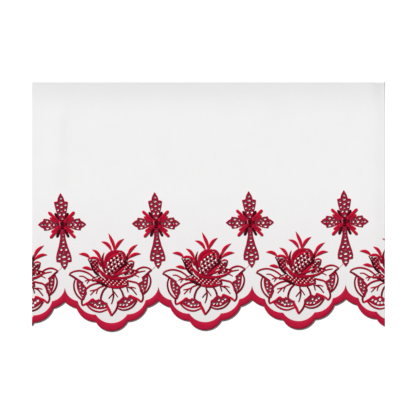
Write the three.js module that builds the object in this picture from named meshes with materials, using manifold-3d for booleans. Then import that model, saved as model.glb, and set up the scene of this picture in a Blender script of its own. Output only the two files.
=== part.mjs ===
// A cut length of embroidered altar cloth, lying face up.
//
// The ground is one sheet of white linen. Its far edge is turned under in a soft fold and its near
// edge is cut in scallops. A red band wraps the scalloped edge. Red openwork crosses stand between
// red pomegranate flowers, each worked in thick thread over windows that are cut in the linen.
//
// X runs along the band, Y from the scallops to the fold, Z up from the surface it lies on.
// All sizes are in millimetres.

import * as THREE from "three";
import { mergeVertices } from "three/addons/utils/BufferGeometryUtils.js";
import Module from "manifold-3d";

const wasm = await Module();
wasm.setup();

// Driving dimensions of the cloth
const CLOTH_WIDTH = 612;
const CLOTH_DROP = 433; // from the fold to the lowest scallop
const LINEN = 1.2; // thickness of the ground sheet
const SEAT = 0.3; // gap between the linen and the thread that lies on it
const THREAD = 1.1; // thickness of the embroidery

// The pattern repeats along the band, which climbs a little to the right
const REPEAT = 162.4;
const FIRST_FLOWER = -2;
const LAST_FLOWER = 2;
const MIDDLE_FLOWER_X = -5.3;
const CLIMB = 0.0107;

// The fold at the far edge
const FOLD_REACH = 64; // how far from the edge the sheet starts to rise
const FOLD_LIFT = 2.8;
const FOLD_ROUND = 1.6; // the crest lies this far from the edge
const FOLD_POWER = 2.4; // the sheet rises slowly at first and steepest at the crest
const HEM_DEPTH = 15; // where the layer that is turned under ends, clear of the sheet above it
const FOLD_STEPS = 12;
const FOLD_JOIN = 6; // flat stretch that the fold shares with the plate
const LOOP_STEPS = 8;

const NEAR_EDGE = -CLOTH_DROP / 2;
const FAR_EDGE = CLOTH_DROP / 2;
const THREAD_LOW = LINEN + SEAT;
const THREAD_HIGH = THREAD_LOW + THREAD;
const CUT_THROUGH = 20; // height of a cutter that passes through everything
const EVEN_OUT = 0.005; // joined faces that lie this close to one plane become one face

// Half of one scallop, from its middle outwards: where each arc ends and how far it bulges
const OUTER_EDGE = [
  { out: 27.8, up: 16.5, bulge: 16.5 },
  { out: 61.2, up: 40.8, bulge: 6.5 },
  { out: REPEAT / 2, up: 51.2, bulge: 1.5 },
];
const INNER_EDGE = [
  { out: 27.4, up: 28.0, bulge: 15.0 },
  { out: 59.0, up: 52.0, bulge: 7.0 },
  { out: REPEAT / 2, up: 75.0, bulge: 5.2 },
];
const ARC_STEPS = [6, 4, 2];
const WRAP_SHARE = 0.42; // how much of the band reaches down past the linen's cut edge
const LINEN_SHARE = 0.46;

// The crosses stand over the notches. Each leans a little, as the cloth was stitched
const CROSS_UP = 185;
const CROSSES = [
  { notch: -2, shift: -4.8, lean: 0.053 },
  { notch: -1, shift: -4.2, lean: 0.046 },
  { notch: 0, shift: -3.8, lean: 0.04 },
  { notch: 1, shift: -1.9, lean: 0.024 },
];

// Each arm of a cross: half widths along it, and the larger holes in it, mirrored across the arm.
// A hole is twice its wide across the arm and twice its tall along it
const ARM_MARGIN = 2.1; // thread that overlaps the linen round a window
const ARMS = {
  head: {
    turn: 90,
    form: [
      { along: 4, half: 4.2 },
      { along: 13, half: 6.4 },
      { along: 17, half: 7.4 },
      { along: 29, half: 10.6 },
      { along: 38.5, half: 12.2 },
      { along: 39.5, half: 6.4 },
      { along: 46, half: 5.0 },
      { along: 54, half: 0.4 },
    ],
    holes: [
      { along: 18, across: 3.4, wide: 2, tall: 2.1 },
      { along: 26, across: 6.2, wide: 2, tall: 2.1 },
      { along: 31, across: 0, wide: 2.7, tall: 2.3 },
      { along: 34.2, across: 7, wide: 2.3, tall: 1.9 },
      { along: 38.6, across: 0, wide: 3.7, tall: 1.8 },
    ],
  },
  side: {
    turn: 0,
    form: [
      { along: 4, half: 3.8 },
      { along: 13, half: 5.6 },
      { along: 23, half: 9.4 },
      { along: 31, half: 10.4 },
      { along: 32, half: 6.6 },
      { along: 36.5, half: 4.6 },
      { along: 41.5, half: 0.4 },
    ],
    holes: [
      { along: 22.6, across: 0, wide: 2.3, tall: 2.5 },
      { along: 26.2, across: 6.2, wide: 1.9, tall: 2.6 },
    ],
  },
  foot: {
    turn: -90,
    form: [
      { along: 4, half: 3.6 },
      { along: 13, half: 4.1 },
      { along: 24, half: 4.6 },
      { along: 38, half: 7.8 },
      { along: 50, half: 11.8 },
      { along: 57.2, half: 13.4 },
      { along: 64, half: 13.2 },
      { along: 65, half: 6.9 },
      { along: 70.8, half: 5.6 },
      { along: 76.8, half: 0.8 },
    ],
    holes: [
      { along: 30, across: 0, wide: 2.6, tall: 2 },
      { along: 36.6, across: 0, wide: 3.3, tall: 1.8 },
      { along: 43, across: 4.2, wide: 2.1, tall: 2.5 },
      { along: 51.6, across: 7.1, wide: 2.1, tall: 1.9 },
      { along: 55.4, across: 0, wide: 4, tall: 2.3 },
      { along: 58.8, across: 8.2, wide: 2.5, tall: 2.4 },
      { along: 63.3, across: 0, wide: 4.1, tall: 1.9 },
      { along: 69.6, across: 0, wide: 2.9, tall: 2.2 },
    ],
  },
};
const WINDOW_FROM = 13; // the row of an arm from which the linen is cut away under it
const WINDOW_TIP = { short: 2.9, half: 0.1 }; // a window ends in a point, short of the tip of its arm
const HOLE_SIDES = 8;

// Rays between the arms, mirrored left and right
const RAYS = [
  { turn: 59, length: 22, half: 1.8 },
  { turn: 45, length: 31, half: 2.3 },
  { turn: 31, length: 24, half: 2 },
  { turn: -35, length: 23.5, half: 2 },
  { turn: -47, length: 32, half: 2.3 },
  { turn: -65, length: 24, half: 1.8 },
];
const RAY_START = 4;
const HUB = { radius: 9.5, sides: 10 };
const BOSS = { across: 4.6, along: 6.4, rise: 0.9, sides: 8 };

// The flower, measured from the lowest point of its scallop, x to the right and y up. Each row is one
// corner of an outline that runs anticlockwise, and the arc that leads to it bulges outwards
const LINE = 2.5; // width of a stitched outline
const SHARPEST = 0.75; // keeps an outline's line from running on past its sharp corners
const LEFT_LEAF = [
  { x: -27, y: 91.5, bulge: 0 },
  { x: -50, y: 104.6, bulge: 2.6 },
  { x: -74, y: 98.8, bulge: 3.8 },
  { x: -62, y: 89.5, bulge: 0.6 },
  { x: -50, y: 82.5, bulge: 0 },
  { x: -44, y: 75, bulge: 1.4 },
  { x: -26, y: 84, bulge: 0 },
];
const RIGHT_LEAF = [
  { x: 27, y: 86, bulge: 0 },
  { x: 51.5, y: 81.5, bulge: 1 },
  { x: 51, y: 90.5, bulge: 1.6 },
  { x: 63, y: 97, bulge: 0 },
  { x: 70.5, y: 104, bulge: 0.6 },
  { x: 54, y: 110, bulge: 3 },
  { x: 36, y: 102.5, bulge: 1.6 },
];
const LEFT_PETAL = [
  { x: -14, y: 82, bulge: 0 },
  { x: -45.5, y: 73.5, bulge: 5.2 },
  { x: -43.5, y: 65, bulge: 0.8 },
  { x: -52, y: 53.5, bulge: 1.2 },
  { x: -50.6, y: 43.2, bulge: 1 },
  { x: -32.5, y: 55.5, bulge: 0.6 },
  { x: -18, y: 54.5, bulge: 3.4 },
];
const RIGHT_PETAL = [
  { x: 13, y: 74, bulge: 0 },
  { x: 19, y: 58, bulge: 0 },
  { x: 31, y: 60.5, bulge: 3.8 },
  { x: 51.2, y: 48.6, bulge: 0.4 },
  { x: 54.4, y: 57, bulge: 0.9 },
  { x: 46.5, y: 70, bulge: 1.2 },
  { x: 48, y: 79, bulge: 1.4 },
  { x: 27, y: 87, bulge: 2.6 },
];
const MIDDLE_PETAL = [
  { x: -9.5, y: 76, bulge: 0 },
  { x: -18.8, y: 53, bulge: 3.6 },
  { x: -9.3, y: 48.2, bulge: 2.4 },
  { x: -0.4, y: 25.2, bulge: 2.4 },
  { x: 10.3, y: 50, bulge: 2.8 },
  { x: 20.4, y: 56.5, bulge: 2.2 },
  { x: 13.5, y: 76, bulge: 2.2 },
];
const PETALS = [LEFT_LEAF, RIGHT_LEAF, LEFT_PETAL, RIGHT_PETAL, MIDDLE_PETAL]; // the last lies on top

// Veins from the foot of each petal, with the bars that branch off them
const VEIN = 1.7;
const VEINS = [
  { from: [1.6, 76], to: [-0.4, 46] },
  { from: [1.6, 62], to: [-5.4, 55] },
  { from: [1.4, 69], to: [10.4, 58] },
  { from: [-17, 79], to: [-37, 62] },
  { from: [-24, 73], to: [-38.6, 69] },
  { from: [27, 78], to: [43.6, 62] },
  { from: [25, 77], to: [28.8, 66.4] },
  { from: [-26, 86.5], to: [-57, 95.4] },
  { from: [-34, 88.5], to: [-43.6, 81.6] },
  { from: [34, 96], to: [58.6, 103] },
];

// Panels of cutwork between the petals. Each is closed inwards under them and edged by an outer arc
const PANELS = [
  { from: [-58.5, 93], to: [-47, 53], bulge: 6.8, close: [[-34, 70], [-40, 88]] },
  { from: [-43, 49.5], to: [-5.5, 42], bulge: 6.6, close: [[-10, 62], [-36, 60]] },
  { from: [7.5, 43], to: [45, 54], bulge: 7, close: [[36, 63], [14, 64]] },
  { from: [50, 61], to: [61, 99], bulge: 6.2, close: [[44, 90], [38, 74]] },
];
const ARCS = [
  { from: [-63.5, 92.5], to: [-48.5, 50.5], bulge: 8.2 },
  { from: [-45.5, 48.5], to: [-5.5, 37], bulge: 8.6 },
  { from: [7.5, 39], to: [46.5, 54], bulge: 9 },
  { from: [50.5, 59.5], to: [64.5, 100.5], bulge: 8.8 },
];
const PANEL_HOLES = [
  { x: -56, y: 82, radius: 2.2 },
  { x: -55.3, y: 76.6, radius: 2.2 },
  { x: -49.2, y: 74, radius: 2.2 },
  { x: -55, y: 71, radius: 2.1 },
  { x: -50.2, y: 68, radius: 2.1 },
  { x: -51, y: 62.6, radius: 2.0 },
  { x: -35, y: 48.9, radius: 2.0 },
  { x: -29.4, y: 46.2, radius: 2.2 },
  { x: -21.6, y: 49.0, radius: 2.1 },
  { x: -24.6, y: 43, radius: 2.2 },
  { x: -18.6, y: 43.2, radius: 2.0 },
  { x: -13, y: 43.6, radius: 2.0 },
  { x: 14.6, y: 45.4, radius: 2.1 },
  { x: 20, y: 45.2, radius: 2.1 },
  { x: 23, y: 51.6, radius: 2.2 },
  { x: 26, y: 45.4, radius: 2.1 },
  { x: 29.6, y: 50, radius: 2.2 },
  { x: 34.2, y: 53.2, radius: 2.2 },
  { x: 58.6, y: 90, radius: 2.2 },
  { x: 57.4, y: 84, radius: 2.2 },
  { x: 51.6, y: 78.6, radius: 2.0 },
  { x: 57.2, y: 77.8, radius: 2.1 },
  { x: 53, y: 73.6, radius: 2.1 },
  { x: 51.8, y: 68.4, radius: 2.0 },
];
const PANEL_MARGIN = 1.4; // thread that overlaps the linen round a panel's window
const ARC_STEP = 13; // longest straight stretch of an arc

// The collar under the fruit, the fruit with its open middle, and the sepals and leaves round it
const COLLAR = [
  { x: -34, y: 87.5, bulge: 0 },
  { x: 28.5, y: 76, bulge: 6.8 },
  { x: 27, y: 89, bulge: 0.8 },
  { x: -22, y: 96, bulge: -5.5 },
];
const FRUIT = { x: 6, y: 115, across: 17.5, along: 24, turn: -16, rind: 5, sides: 12 };
const LEAVES = [
  { from: [-10, 90], to: [-41.5, 125], half: 10 },
  { from: [-11, 96], to: [-13, 134.5], half: 4.4 },
  { from: [4, 94], to: [39.5, 120], half: 7.4 },
  { from: [6, 96], to: [29.4, 134.5], half: 3.4 },
  { from: [6, 91], to: [46, 101.6], half: 6.4 },
  { from: [4.4, 134], to: [-5.7, 168.6], half: 3.2 },
  { from: [3, 134], to: [-18.6, 154.6], half: 2.9 },
  { from: [6, 134], to: [21.6, 159], half: 2.9 },
  { from: [-17, 119], to: [-34, 141], half: 3.1 },
  { from: [-30, 121], to: [-57, 134.4], half: 3.1 },
  { from: [-26, 104], to: [-51.4, 109.6], half: 2.9 },
  { from: [24, 123], to: [45, 149], half: 3.2 },
  { from: [22, 121.5], to: [51, 132.6], half: 3.0 },
];
const LEAF_STEPS = 4;
const SMALLEST_WINDOW = 60; // square millimetres
const SMALLEST_SCRAP = 40; // cubic millimetres of thread that a cut side leaves by itself

const LINEN_COLOUR = new THREE.MeshStandardMaterial({ color: 0xf1efec, roughness: 0.85, metalness: 0 });
const BAND_COLOUR = new THREE.MeshStandardMaterial({ color: 0xba1c3c, roughness: 0.6, metalness: 0 });
const CROSS_COLOUR = new THREE.MeshStandardMaterial({ color: 0xb01a38, roughness: 0.6, metalness: 0 });
const FLOWER_COLOUR = new THREE.MeshStandardMaterial({ color: 0xb21a3a, roughness: 0.6, metalness: 0 });

// Solids

function solidOf(geometry) {
  const bare = geometry.clone();
  bare.deleteAttribute("normal");
  bare.deleteAttribute("uv");
  const merged = mergeVertices(bare, 1e-4);
  const vertProperties = new Float32Array(merged.attributes.position.array);
  const triVerts = new Uint32Array(merged.index.array);
  return new wasm.Manifold(new wasm.Mesh({ numProp: 3, vertProperties, triVerts }));
}

function prism(outline, low, high) {
  const shape = new THREE.Shape(outline.map(([x, y]) => new THREE.Vector2(x, y)));
  const geometry = new THREE.ExtrudeGeometry(shape, { depth: high - low, bevelEnabled: false });
  geometry.translate(0, 0, low);
  return solidOf(geometry);
}

const thread = (outline) => prism(outline, THREAD_LOW, THREAD_HIGH);
const cutter = (outline) => prism(outline, -CUT_THROUGH, CUT_THROUGH);
const joined = (solids) => solids.reduce((whole, one) => whole.add(one));

function meshOf(name, solid, material) {
  const { vertProperties, triVerts } = solid.asOriginal().simplify(EVEN_OUT).getMesh();
  const indexed = new THREE.BufferGeometry();
  indexed.setAttribute("position", new THREE.BufferAttribute(vertProperties, 3));
  indexed.setIndex(new THREE.BufferAttribute(triVerts, 1));
  const geometry = indexed.toNonIndexed();
  geometry.computeVertexNormals();
  const mesh = new THREE.Mesh(geometry, material);
  mesh.name = name;
  return mesh;
}

// Outlines

const degrees = (angle) => (angle * Math.PI) / 180;

function turned([along, across], angle) {
  const [cos, sin] = [Math.cos(degrees(angle)), Math.sin(degrees(angle))];
  return [along * cos - across * sin, along * sin + across * cos];
}

function ellipse(x, y, across, along, turn, sides) {
  return Array.from({ length: sides }, (_, i) => {
    const angle = (2 * Math.PI * i) / sides;
    const [dx, dy] = turned([across * Math.cos(angle), along * Math.sin(angle)], turn);
    return [x + dx, y + dy];
  });
}

// Points of an arc from a to b that bulges to the right of the way from a to b
function arc(a, b, bulge, steps) {
  const [dx, dy] = [b[0] - a[0], b[1] - a[1]];
  const chord = Math.hypot(dx, dy);
  const radius = (chord * chord) / (8 * bulge) + bulge / 2;
  const half = Math.asin(Math.min(1, chord / (2 * radius)));
  const side = bulge > chord / 2 ? Math.PI - half : half;
  const middle = [(a[0] + b[0]) / 2, (a[1] + b[1]) / 2];
  const out = [dy / chord, -dx / chord];
  const centre = [middle[0] + out[0] * (bulge - radius), middle[1] + out[1] * (bulge - radius)];
  return Array.from({ length: steps }, (_, i) => {
    const angle = -side + (2 * side * i) / steps;
    const [along, rise] = [Math.sin(angle) * radius, Math.cos(angle) * radius];
    return [
      centre[0] + (dx / chord) * along + out[0] * rise,
      centre[1] + (dy / chord) * along + out[1] * rise,
    ];
  });
}

// Points of an outline whose rows give its corners and how far each arc that leads to one bulges
function outlineOf(rows) {
  return rows.flatMap(({ x, y }, i) => {
    const next = rows[(i + 1) % rows.length];
    const length = Math.hypot(next.x - x, next.y - y);
    return next.bulge ? arc([x, y], [next.x, next.y], next.bulge, Math.ceil(length / ARC_STEP)) : [[x, y]];
  });
}

// A leaf that is pointed at both ends and widest below its middle
function leafOutline({ from, to, half }) {
  const [dx, dy] = [to[0] - from[0], to[1] - from[1]];
  const length = Math.hypot(dx, dy);
  const side = (sign) =>
    Array.from({ length: LEAF_STEPS }, (_, i) => {
      const along = i / LEAF_STEPS;
      const wide = sign * half * Math.sin(Math.PI * along ** 0.9);
      return [from[0] + dx * along - (wide * dy) / length, from[1] + dy * along + (wide * dx) / length];
    });
  return [...side(-1), to, ...side(1).slice(1).reverse()];
}

function barOutline({ from, to }, width) {
  const [dx, dy] = [to[0] - from[0], to[1] - from[1]];
  const length = Math.hypot(dx, dy);
  const [sx, sy] = [(-dy * width) / length / 2, (dx * width) / length / 2];
  return [
    [from[0] - sx, from[1] - sy],
    [to[0] - sx, to[1] - sy],
    [to[0] + sx, to[1] + sy],
    [from[0] + sx, from[1] + sy],
  ];
}

// The scalloped line, at a share of the way from the outer edge of the band to its inner edge

function scallop(share) {
  const blend = (a, b) => a + (b - a) * share;
  const rows = OUTER_EDGE.map((row, i) => ({
    out: blend(row.out, INNER_EDGE[i].out),
    up: blend(row.up, INNER_EDGE[i].up),
    bulge: blend(row.bulge, INNER_EDGE[i].bulge),
    steps: ARC_STEPS[i],
  }));
  const base = blend(0, INNER_EDGE[0].up - INNER_EDGE[0].bulge);
  const [first, second, third] = rows;
  first.bulge = first.up - base;
  return [
    ...arc([-third.out, third.up], [-second.out, second.up], third.bulge, third.steps),
    ...arc([-second.out, second.up], [-first.out, first.up], second.bulge, second.steps),
    ...arc([-first.out, first.up], [first.out, first.up], first.bulge, first.steps),
    ...arc([first.out, first.up], [second.out, second.up], second.bulge, second.steps),
    ...arc([second.out, second.up], [third.out, third.up], third.bulge, third.steps),
  ];
}

const flowerX = (number) => MIDDLE_FLOWER_X + number * REPEAT;
const baseline = (x) => NEAR_EDGE + CLIMB * (x - flowerX(-1));

function placedInRepeat(outline, number) {
  return outline.map(([x, y]) => [flowerX(number) + x, baseline(flowerX(number) + x) + y]);
}

function edgeLine(share) {
  const line = [];
  for (let number = FIRST_FLOWER; number <= LAST_FLOWER; number++) {
    line.push(...placedInRepeat(scallop(share), number));
  }
  return line;
}

const clothBox = cutter([
  [-CLOTH_WIDTH / 2, -CLOTH_DROP],
  [CLOTH_WIDTH / 2, -CLOTH_DROP],
  [CLOTH_WIDTH / 2, CLOTH_DROP],
  [-CLOTH_WIDTH / 2, CLOTH_DROP],
]);

// The cross

function armOutline(form, turn) {
  const near = form.map(({ along, half }) => [along, -half]);
  const far = form.map(({ along, half }) => [along, half]).reverse();
  return [...near, ...far].map((point) => turned(point, turn));
}

// The form of the window under an arm: the arm's own rows moved inwards, and a point near its tip
function windowForm(form) {
  const rows = form.filter(({ along, half }) => along >= WINDOW_FROM && half > ARM_MARGIN);
  return [
    ...rows.map(({ along, half }) => ({ along: along - ARM_MARGIN, half: half - ARM_MARGIN })),
    { along: form.at(-1).along - WINDOW_TIP.short, half: WINDOW_TIP.half },
  ];
}

const crossArms = [
  { arm: ARMS.head, turn: ARMS.head.turn },
  { arm: ARMS.foot, turn: ARMS.foot.turn },
  { arm: ARMS.side, turn: ARMS.side.turn },
  { arm: ARMS.side, turn: 180 - ARMS.side.turn },
];

function crossHoles() {
  return crossArms.flatMap(({ arm, turn }) =>
    arm.holes
      .flatMap((hole) => (hole.across ? [hole, { ...hole, across: -hole.across }] : [hole]))
      .map(({ along, across, wide, tall }) => {
        const [x, y] = turned([along, across], turn);
        return ellipse(x, y, tall, wide, turn, HOLE_SIDES);
      }),
  );
}

function rayOutline({ turn, length, half }) {
  const shoulder = length - half;
  const form = [
    [RAY_START, half],
    [shoulder, half],
    [length, half * 0.4],
    [length, -half * 0.4],
    [shoulder, -half],
    [RAY_START, -half],
  ];
  return form.map((point) => turned(point, turn));
}

function placedCross(outline, { notch, shift, lean }) {
  const x0 = flowerX(notch) + REPEAT / 2 + shift;
  const y0 = baseline(x0) + CROSS_UP;
  return outline.map(([x, y]) => [x0 + x - lean * y, y0 + y + CLIMB * x]);
}

function crossSolid(place) {
  const at = (outline) => placedCross(outline, place);
  const rays = RAYS.flatMap((ray) => [ray, { ...ray, turn: 180 - ray.turn }]);
  const flat = joined([
    thread(at(ellipse(0, 0, HUB.radius, HUB.radius, 0, HUB.sides))),
    ...crossArms.map(({ arm, turn }) => thread(at(armOutline(arm.form, turn)))),
    ...rays.map((ray) => thread(at(rayOutline(ray)))),
  ]);
  const holes = joined(crossHoles().map((hole) => cutter(at(hole))));
  const bossOutline = at(ellipse(0, 0, BOSS.across, BOSS.along, 0, BOSS.sides));
  return flat.subtract(holes).add(prism(bossOutline, THREAD_LOW, THREAD_HIGH + BOSS.rise));
}

const crossWindows = (place) =>
  crossArms.map(({ arm, turn }) => cutter(placedCross(armOutline(windowForm(arm.form), turn), place)));

// The flower, drawn once about the middle of its scallop and then moved to each repeat

const petals = PETALS.map(outlineOf);
const collar = outlineOf(COLLAR);
const panels = PANELS.map((panel) => [...arcPoints(panel), panel.to, ...panel.close]);

function arcPoints({ from, to, bulge }) {
  const length = Math.hypot(to[0] - from[0], to[1] - from[1]);
  return arc(from, to, bulge, Math.ceil(length / ARC_STEP) + 1);
}

// A line of thread whose outer side is an arc
function arcStroke({ from, to, bulge }) {
  const outer = [...arcPoints({ from, to, bulge }), to];
  const centre = circleCentre(outer[0], outer[2], outer.at(-1));
  const inner = outer.map(([x, y]) => {
    const radius = Math.hypot(x - centre[0], y - centre[1]);
    const share = (radius - LINE) / radius;
    return [centre[0] + (x - centre[0]) * share, centre[1] + (y - centre[1]) * share];
  });
  return [...outer, ...inner.reverse()];
}

function circleCentre([ax, ay], [bx, by], [cx, cy]) {
  const d = 2 * (ax * (by - cy) + bx * (cy - ay) + cx * (ay - by));
  const [a, b, c] = [ax * ax + ay * ay, bx * bx + by * by, cx * cx + cy * cy];
  return [
    (a * (by - cy) + b * (cy - ay) + c * (ay - by)) / d,
    (a * (cx - bx) + b * (ax - cx) + c * (bx - ax)) / d,
  ];
}

// An outline moved inwards by a distance, each corner along the middle of its angle
function insetOutline(outline, inset) {
  return outline.map((point, i) => {
    const before = outline[(i + outline.length - 1) % outline.length];
    const after = outline[(i + 1) % outline.length];
    const [ax, ay] = unit(before, point);
    const [bx, by] = unit(point, after);
    const [nx, ny] = [-(ay + by), ax + bx];
    const scale = inset / Math.max(SHARPEST, (nx * nx + ny * ny) / 2);
    return [point[0] + nx * scale, point[1] + ny * scale];
  });
}

function unit(from, to) {
  const length = Math.hypot(to[0] - from[0], to[1] - from[1]);
  return [(to[0] - from[0]) / length, (to[1] - from[1]) / length];
}

function flowerSolid() {
  let flower = joined([...panels, ...ARCS.map(arcStroke)].map(thread));
  petals.forEach((petal) => {
    const ring = thread(petal).subtract(cutter(insetOutline(petal, LINE)));
    flower = flower.subtract(cutter(petal)).add(ring);
  });
  const holes = joined(
    PANEL_HOLES.map(({ x, y, radius }) => cutter(ellipse(x, y, radius, radius, 0, HOLE_SIDES))),
  );
  const { x, y, across, along, turn, rind, sides } = FRUIT;
  return flower
    .subtract(holes)
    .add(joined(VEINS.map((vein) => thread(barOutline(vein, VEIN)))))
    .add(thread(collar))
    .add(joined(LEAVES.map((leaf) => thread(leafOutline(leaf)))))
    .add(thread(ellipse(x, y, across, along, turn, sides)))
    .subtract(cutter(ellipse(x + 1, y - 1, across - rind, along - rind, turn, sides)));
}

function flowerWindows() {
  const inner = joined(panels.map((panel) => cutter(insetOutline(panel, PANEL_MARGIN))));
  const open = [...petals, collar].map(cutter).reduce((left, cover) => left.subtract(cover), inner);
  return open.decompose().filter((piece) => piece.volume() > SMALLEST_WINDOW * 2 * CUT_THROUGH);
}

const shearToBand = (x, y) => [1, CLIMB, 0, 0, 0, 1, 0, 0, 0, 0, 1, 0, x, y, 0, 1];
const inRepeat = (solid, number) =>
  solid.transform(shearToBand(flowerX(number), baseline(flowerX(number))));

// The linen: a flat plate with its windows, and the fold at its far edge

function foldSection() {
  const middle = [[FOLD_REACH + FOLD_JOIN, 0]];
  const rise = FOLD_REACH - FOLD_ROUND;
  for (let i = 0; i <= FOLD_STEPS; i++) {
    const share = i / FOLD_STEPS;
    middle.push([FOLD_REACH - rise * share, FOLD_LIFT * share ** FOLD_POWER]);
  }
  const [reach, lift] = [FOLD_ROUND - LINEN / 2, FOLD_LIFT / 2];
  for (let i = 1; i <= LOOP_STEPS; i++) {
    const angle = Math.PI / 2 - (Math.PI * i) / LOOP_STEPS;
    middle.push([FOLD_ROUND - reach * Math.cos(angle), lift + lift * Math.sin(angle)]);
  }
  middle.push([HEM_DEPTH, 0]);
  const side = (offset) =>
    middle.map(([back, up], i) => {
      const [a, b] = [middle[Math.max(0, i - 1)], middle[Math.min(middle.length - 1, i + 1)]];
      const [dx, dy] = [a[0] - b[0], b[1] - a[1]];
      const length = Math.hypot(dx, dy);
      return [
        FAR_EDGE - back - (offset * dy) / length,
        Math.max(0, LINEN / 2 + up + (offset * dx) / length),
      ];
    });
  return [...side(LINEN / 2), ...side(-LINEN / 2).reverse()];
}

function foldSolid() {
  const shape = new THREE.Shape(foldSection().map(([y, z]) => new THREE.Vector2(y, z)));
  const geometry = new THREE.ExtrudeGeometry(shape, { depth: CLOTH_WIDTH, bevelEnabled: false });
  const basis = new THREE.Matrix4().makeBasis(
    new THREE.Vector3(0, 1, 0),
    new THREE.Vector3(0, 0, 1),
    new THREE.Vector3(1, 0, 0),
  );
  geometry.applyMatrix4(basis).translate(-CLOTH_WIDTH / 2, 0, 0);
  return solidOf(geometry);
}

function linenSolid(windows) {
  const line = edgeLine(LINEN_SHARE);
  const top = FAR_EDGE - FOLD_REACH - FOLD_JOIN / 2;
  const outline = [...line, [line.at(-1)[0], top], [line[0][0], top]];
  return prism(outline, 0, LINEN).intersect(clothBox).subtract(joined(windows)).add(foldSolid());
}

function bandSolid() {
  const strip = (share, low, high) => prism([...edgeLine(0), ...edgeLine(share).reverse()], low, high);
  return strip(1, THREAD_LOW, THREAD_HIGH).add(strip(WRAP_SHARE, 0, THREAD_HIGH)).intersect(clothBox);
}

// The whole cloth

const cloth = new THREE.Group();
const windows = CROSSES.flatMap(crossWindows);
const flower = flowerSolid();
const panelWindows = flowerWindows();
for (let number = FIRST_FLOWER; number <= LAST_FLOWER; number++) {
  windows.push(...panelWindows.map((window) => inRepeat(window, number)));
  const [whole] = inRepeat(flower, number)
    .intersect(clothBox)
    .decompose()
    .filter((piece) => piece.volume() > SMALLEST_SCRAP);
  cloth.add(meshOf(`flower_${number - FIRST_FLOWER + 1}`, whole, FLOWER_COLOUR));
}
cloth.add(meshOf("linen_ground", linenSolid(windows), LINEN_COLOUR));
cloth.add(meshOf("scalloped_band", bandSolid(), BAND_COLOUR));
CROSSES.forEach((place, i) => cloth.add(meshOf(`cross_${i + 1}`, crossSolid(place), CROSS_COLOUR)));

export default cloth;
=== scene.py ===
# %% [markdown]
# # Dressing an embroidered altar cloth
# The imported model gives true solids: one sheet of linen, the band along its scallops, four
# crosses and five flowers, two of which run off the sides of the piece. This lesson keeps every
# one of those places and gives each a surface that looks sewn. It could be done by painting the
# solids, but plain faces with a red paint read as plastic. Thread has a rounded body that catches
# light along its length, so the embroidery is built again from cords, plates and knots.

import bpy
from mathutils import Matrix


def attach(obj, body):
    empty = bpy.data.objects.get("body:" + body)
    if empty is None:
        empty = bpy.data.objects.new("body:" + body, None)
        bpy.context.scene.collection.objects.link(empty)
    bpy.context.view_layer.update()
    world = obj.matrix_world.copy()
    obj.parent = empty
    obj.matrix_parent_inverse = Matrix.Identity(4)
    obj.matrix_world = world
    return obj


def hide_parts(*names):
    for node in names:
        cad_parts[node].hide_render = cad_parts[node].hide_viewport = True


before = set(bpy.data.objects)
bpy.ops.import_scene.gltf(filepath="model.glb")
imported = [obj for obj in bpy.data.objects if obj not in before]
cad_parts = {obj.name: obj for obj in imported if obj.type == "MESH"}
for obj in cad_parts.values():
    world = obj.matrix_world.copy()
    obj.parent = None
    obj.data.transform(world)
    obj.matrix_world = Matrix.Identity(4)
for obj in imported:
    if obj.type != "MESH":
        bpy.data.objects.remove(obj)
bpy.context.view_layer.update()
print("packed parts:", ", ".join(sorted(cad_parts)))

# %% Helpers that every step needs
import math

import bmesh
import bpy
import numpy as np
from mathutils import Vector
from mathutils.geometry import delaunay_2d_cdt

MM = 0.001
scene = bpy.context.scene


def linked(name, data):
    """An object for this mesh, curve, light or camera, placed in the scene."""
    made = bpy.data.objects.new(name, data)
    scene.collection.objects.link(made)
    return made


def to_linear(red, green, blue):
    """A colour as a maker names it, 0 to 255, in the linear numbers that the shader wants."""
    shares = [part / 255 for part in (red, green, blue)]
    return tuple(c / 12.92 if c < 0.04045 else ((c + 0.055) / 1.055) ** 2.4 for c in shares) + (1.0,)


# %% [markdown]
# ## The camera, the table and the light
# The cloth was photographed lying flat, from straight above, with no perspective in its repeats,
# so an orthographic camera fits. The table is plain white. One soft sun stands low at the upper
# left, which gives the scallops their short shadow on the lower right and shades the slope of
# the fold. A weak white sky fills the shadows.

# %% Camera, table and light
IMAGE_WIDTH = 416
MM_A_PIXEL = 1.735
CAMERA_PLACE = (-0.43, -3.86, 3000)
SUN_FROM = (-0.4, 0.63, 0.548)
SUN_SPREAD = 6
SUN_POWER = 5.08
SKY_POWER = 0.22
TABLE_WIDTH = 9.0
TABLE_DROP = 0.2

lens = bpy.data.cameras.new("camera_above")
lens.type = "ORTHO"
lens.ortho_scale = IMAGE_WIDTH * MM_A_PIXEL * MM
camera = linked("camera_above", lens)
camera.location = [place * MM for place in CAMERA_PLACE]
scene.camera = camera

lamp = bpy.data.lights.new("window_light", "SUN")
lamp.energy = SUN_POWER
lamp.angle = math.radians(SUN_SPREAD)
sun = linked("window_light", lamp)
sun.rotation_mode = "QUATERNION"
sun.rotation_quaternion = Vector(SUN_FROM).to_track_quat("Z", "Y")

scene.world = bpy.data.worlds.new("pale_room")
scene.world.use_nodes = True
sky = scene.world.node_tree.nodes["Background"].inputs
sky["Color"].default_value = (1, 1, 1, 1)
sky["Strength"].default_value = SKY_POWER
scene.view_settings.view_transform = "Standard"

reach = TABLE_WIDTH / 2
table_mesh = bpy.data.meshes.new("table")
corners = [(x * reach, y * reach, -TABLE_DROP * MM) for x, y in ((-1, -1), (1, -1), (1, 1), (-1, 1))]
table_mesh.from_pydata(corners, [], [(0, 1, 2, 3)])
table = linked("table", table_mesh)
print("camera sees", round(lens.ortho_scale, 3), "m")

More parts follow.
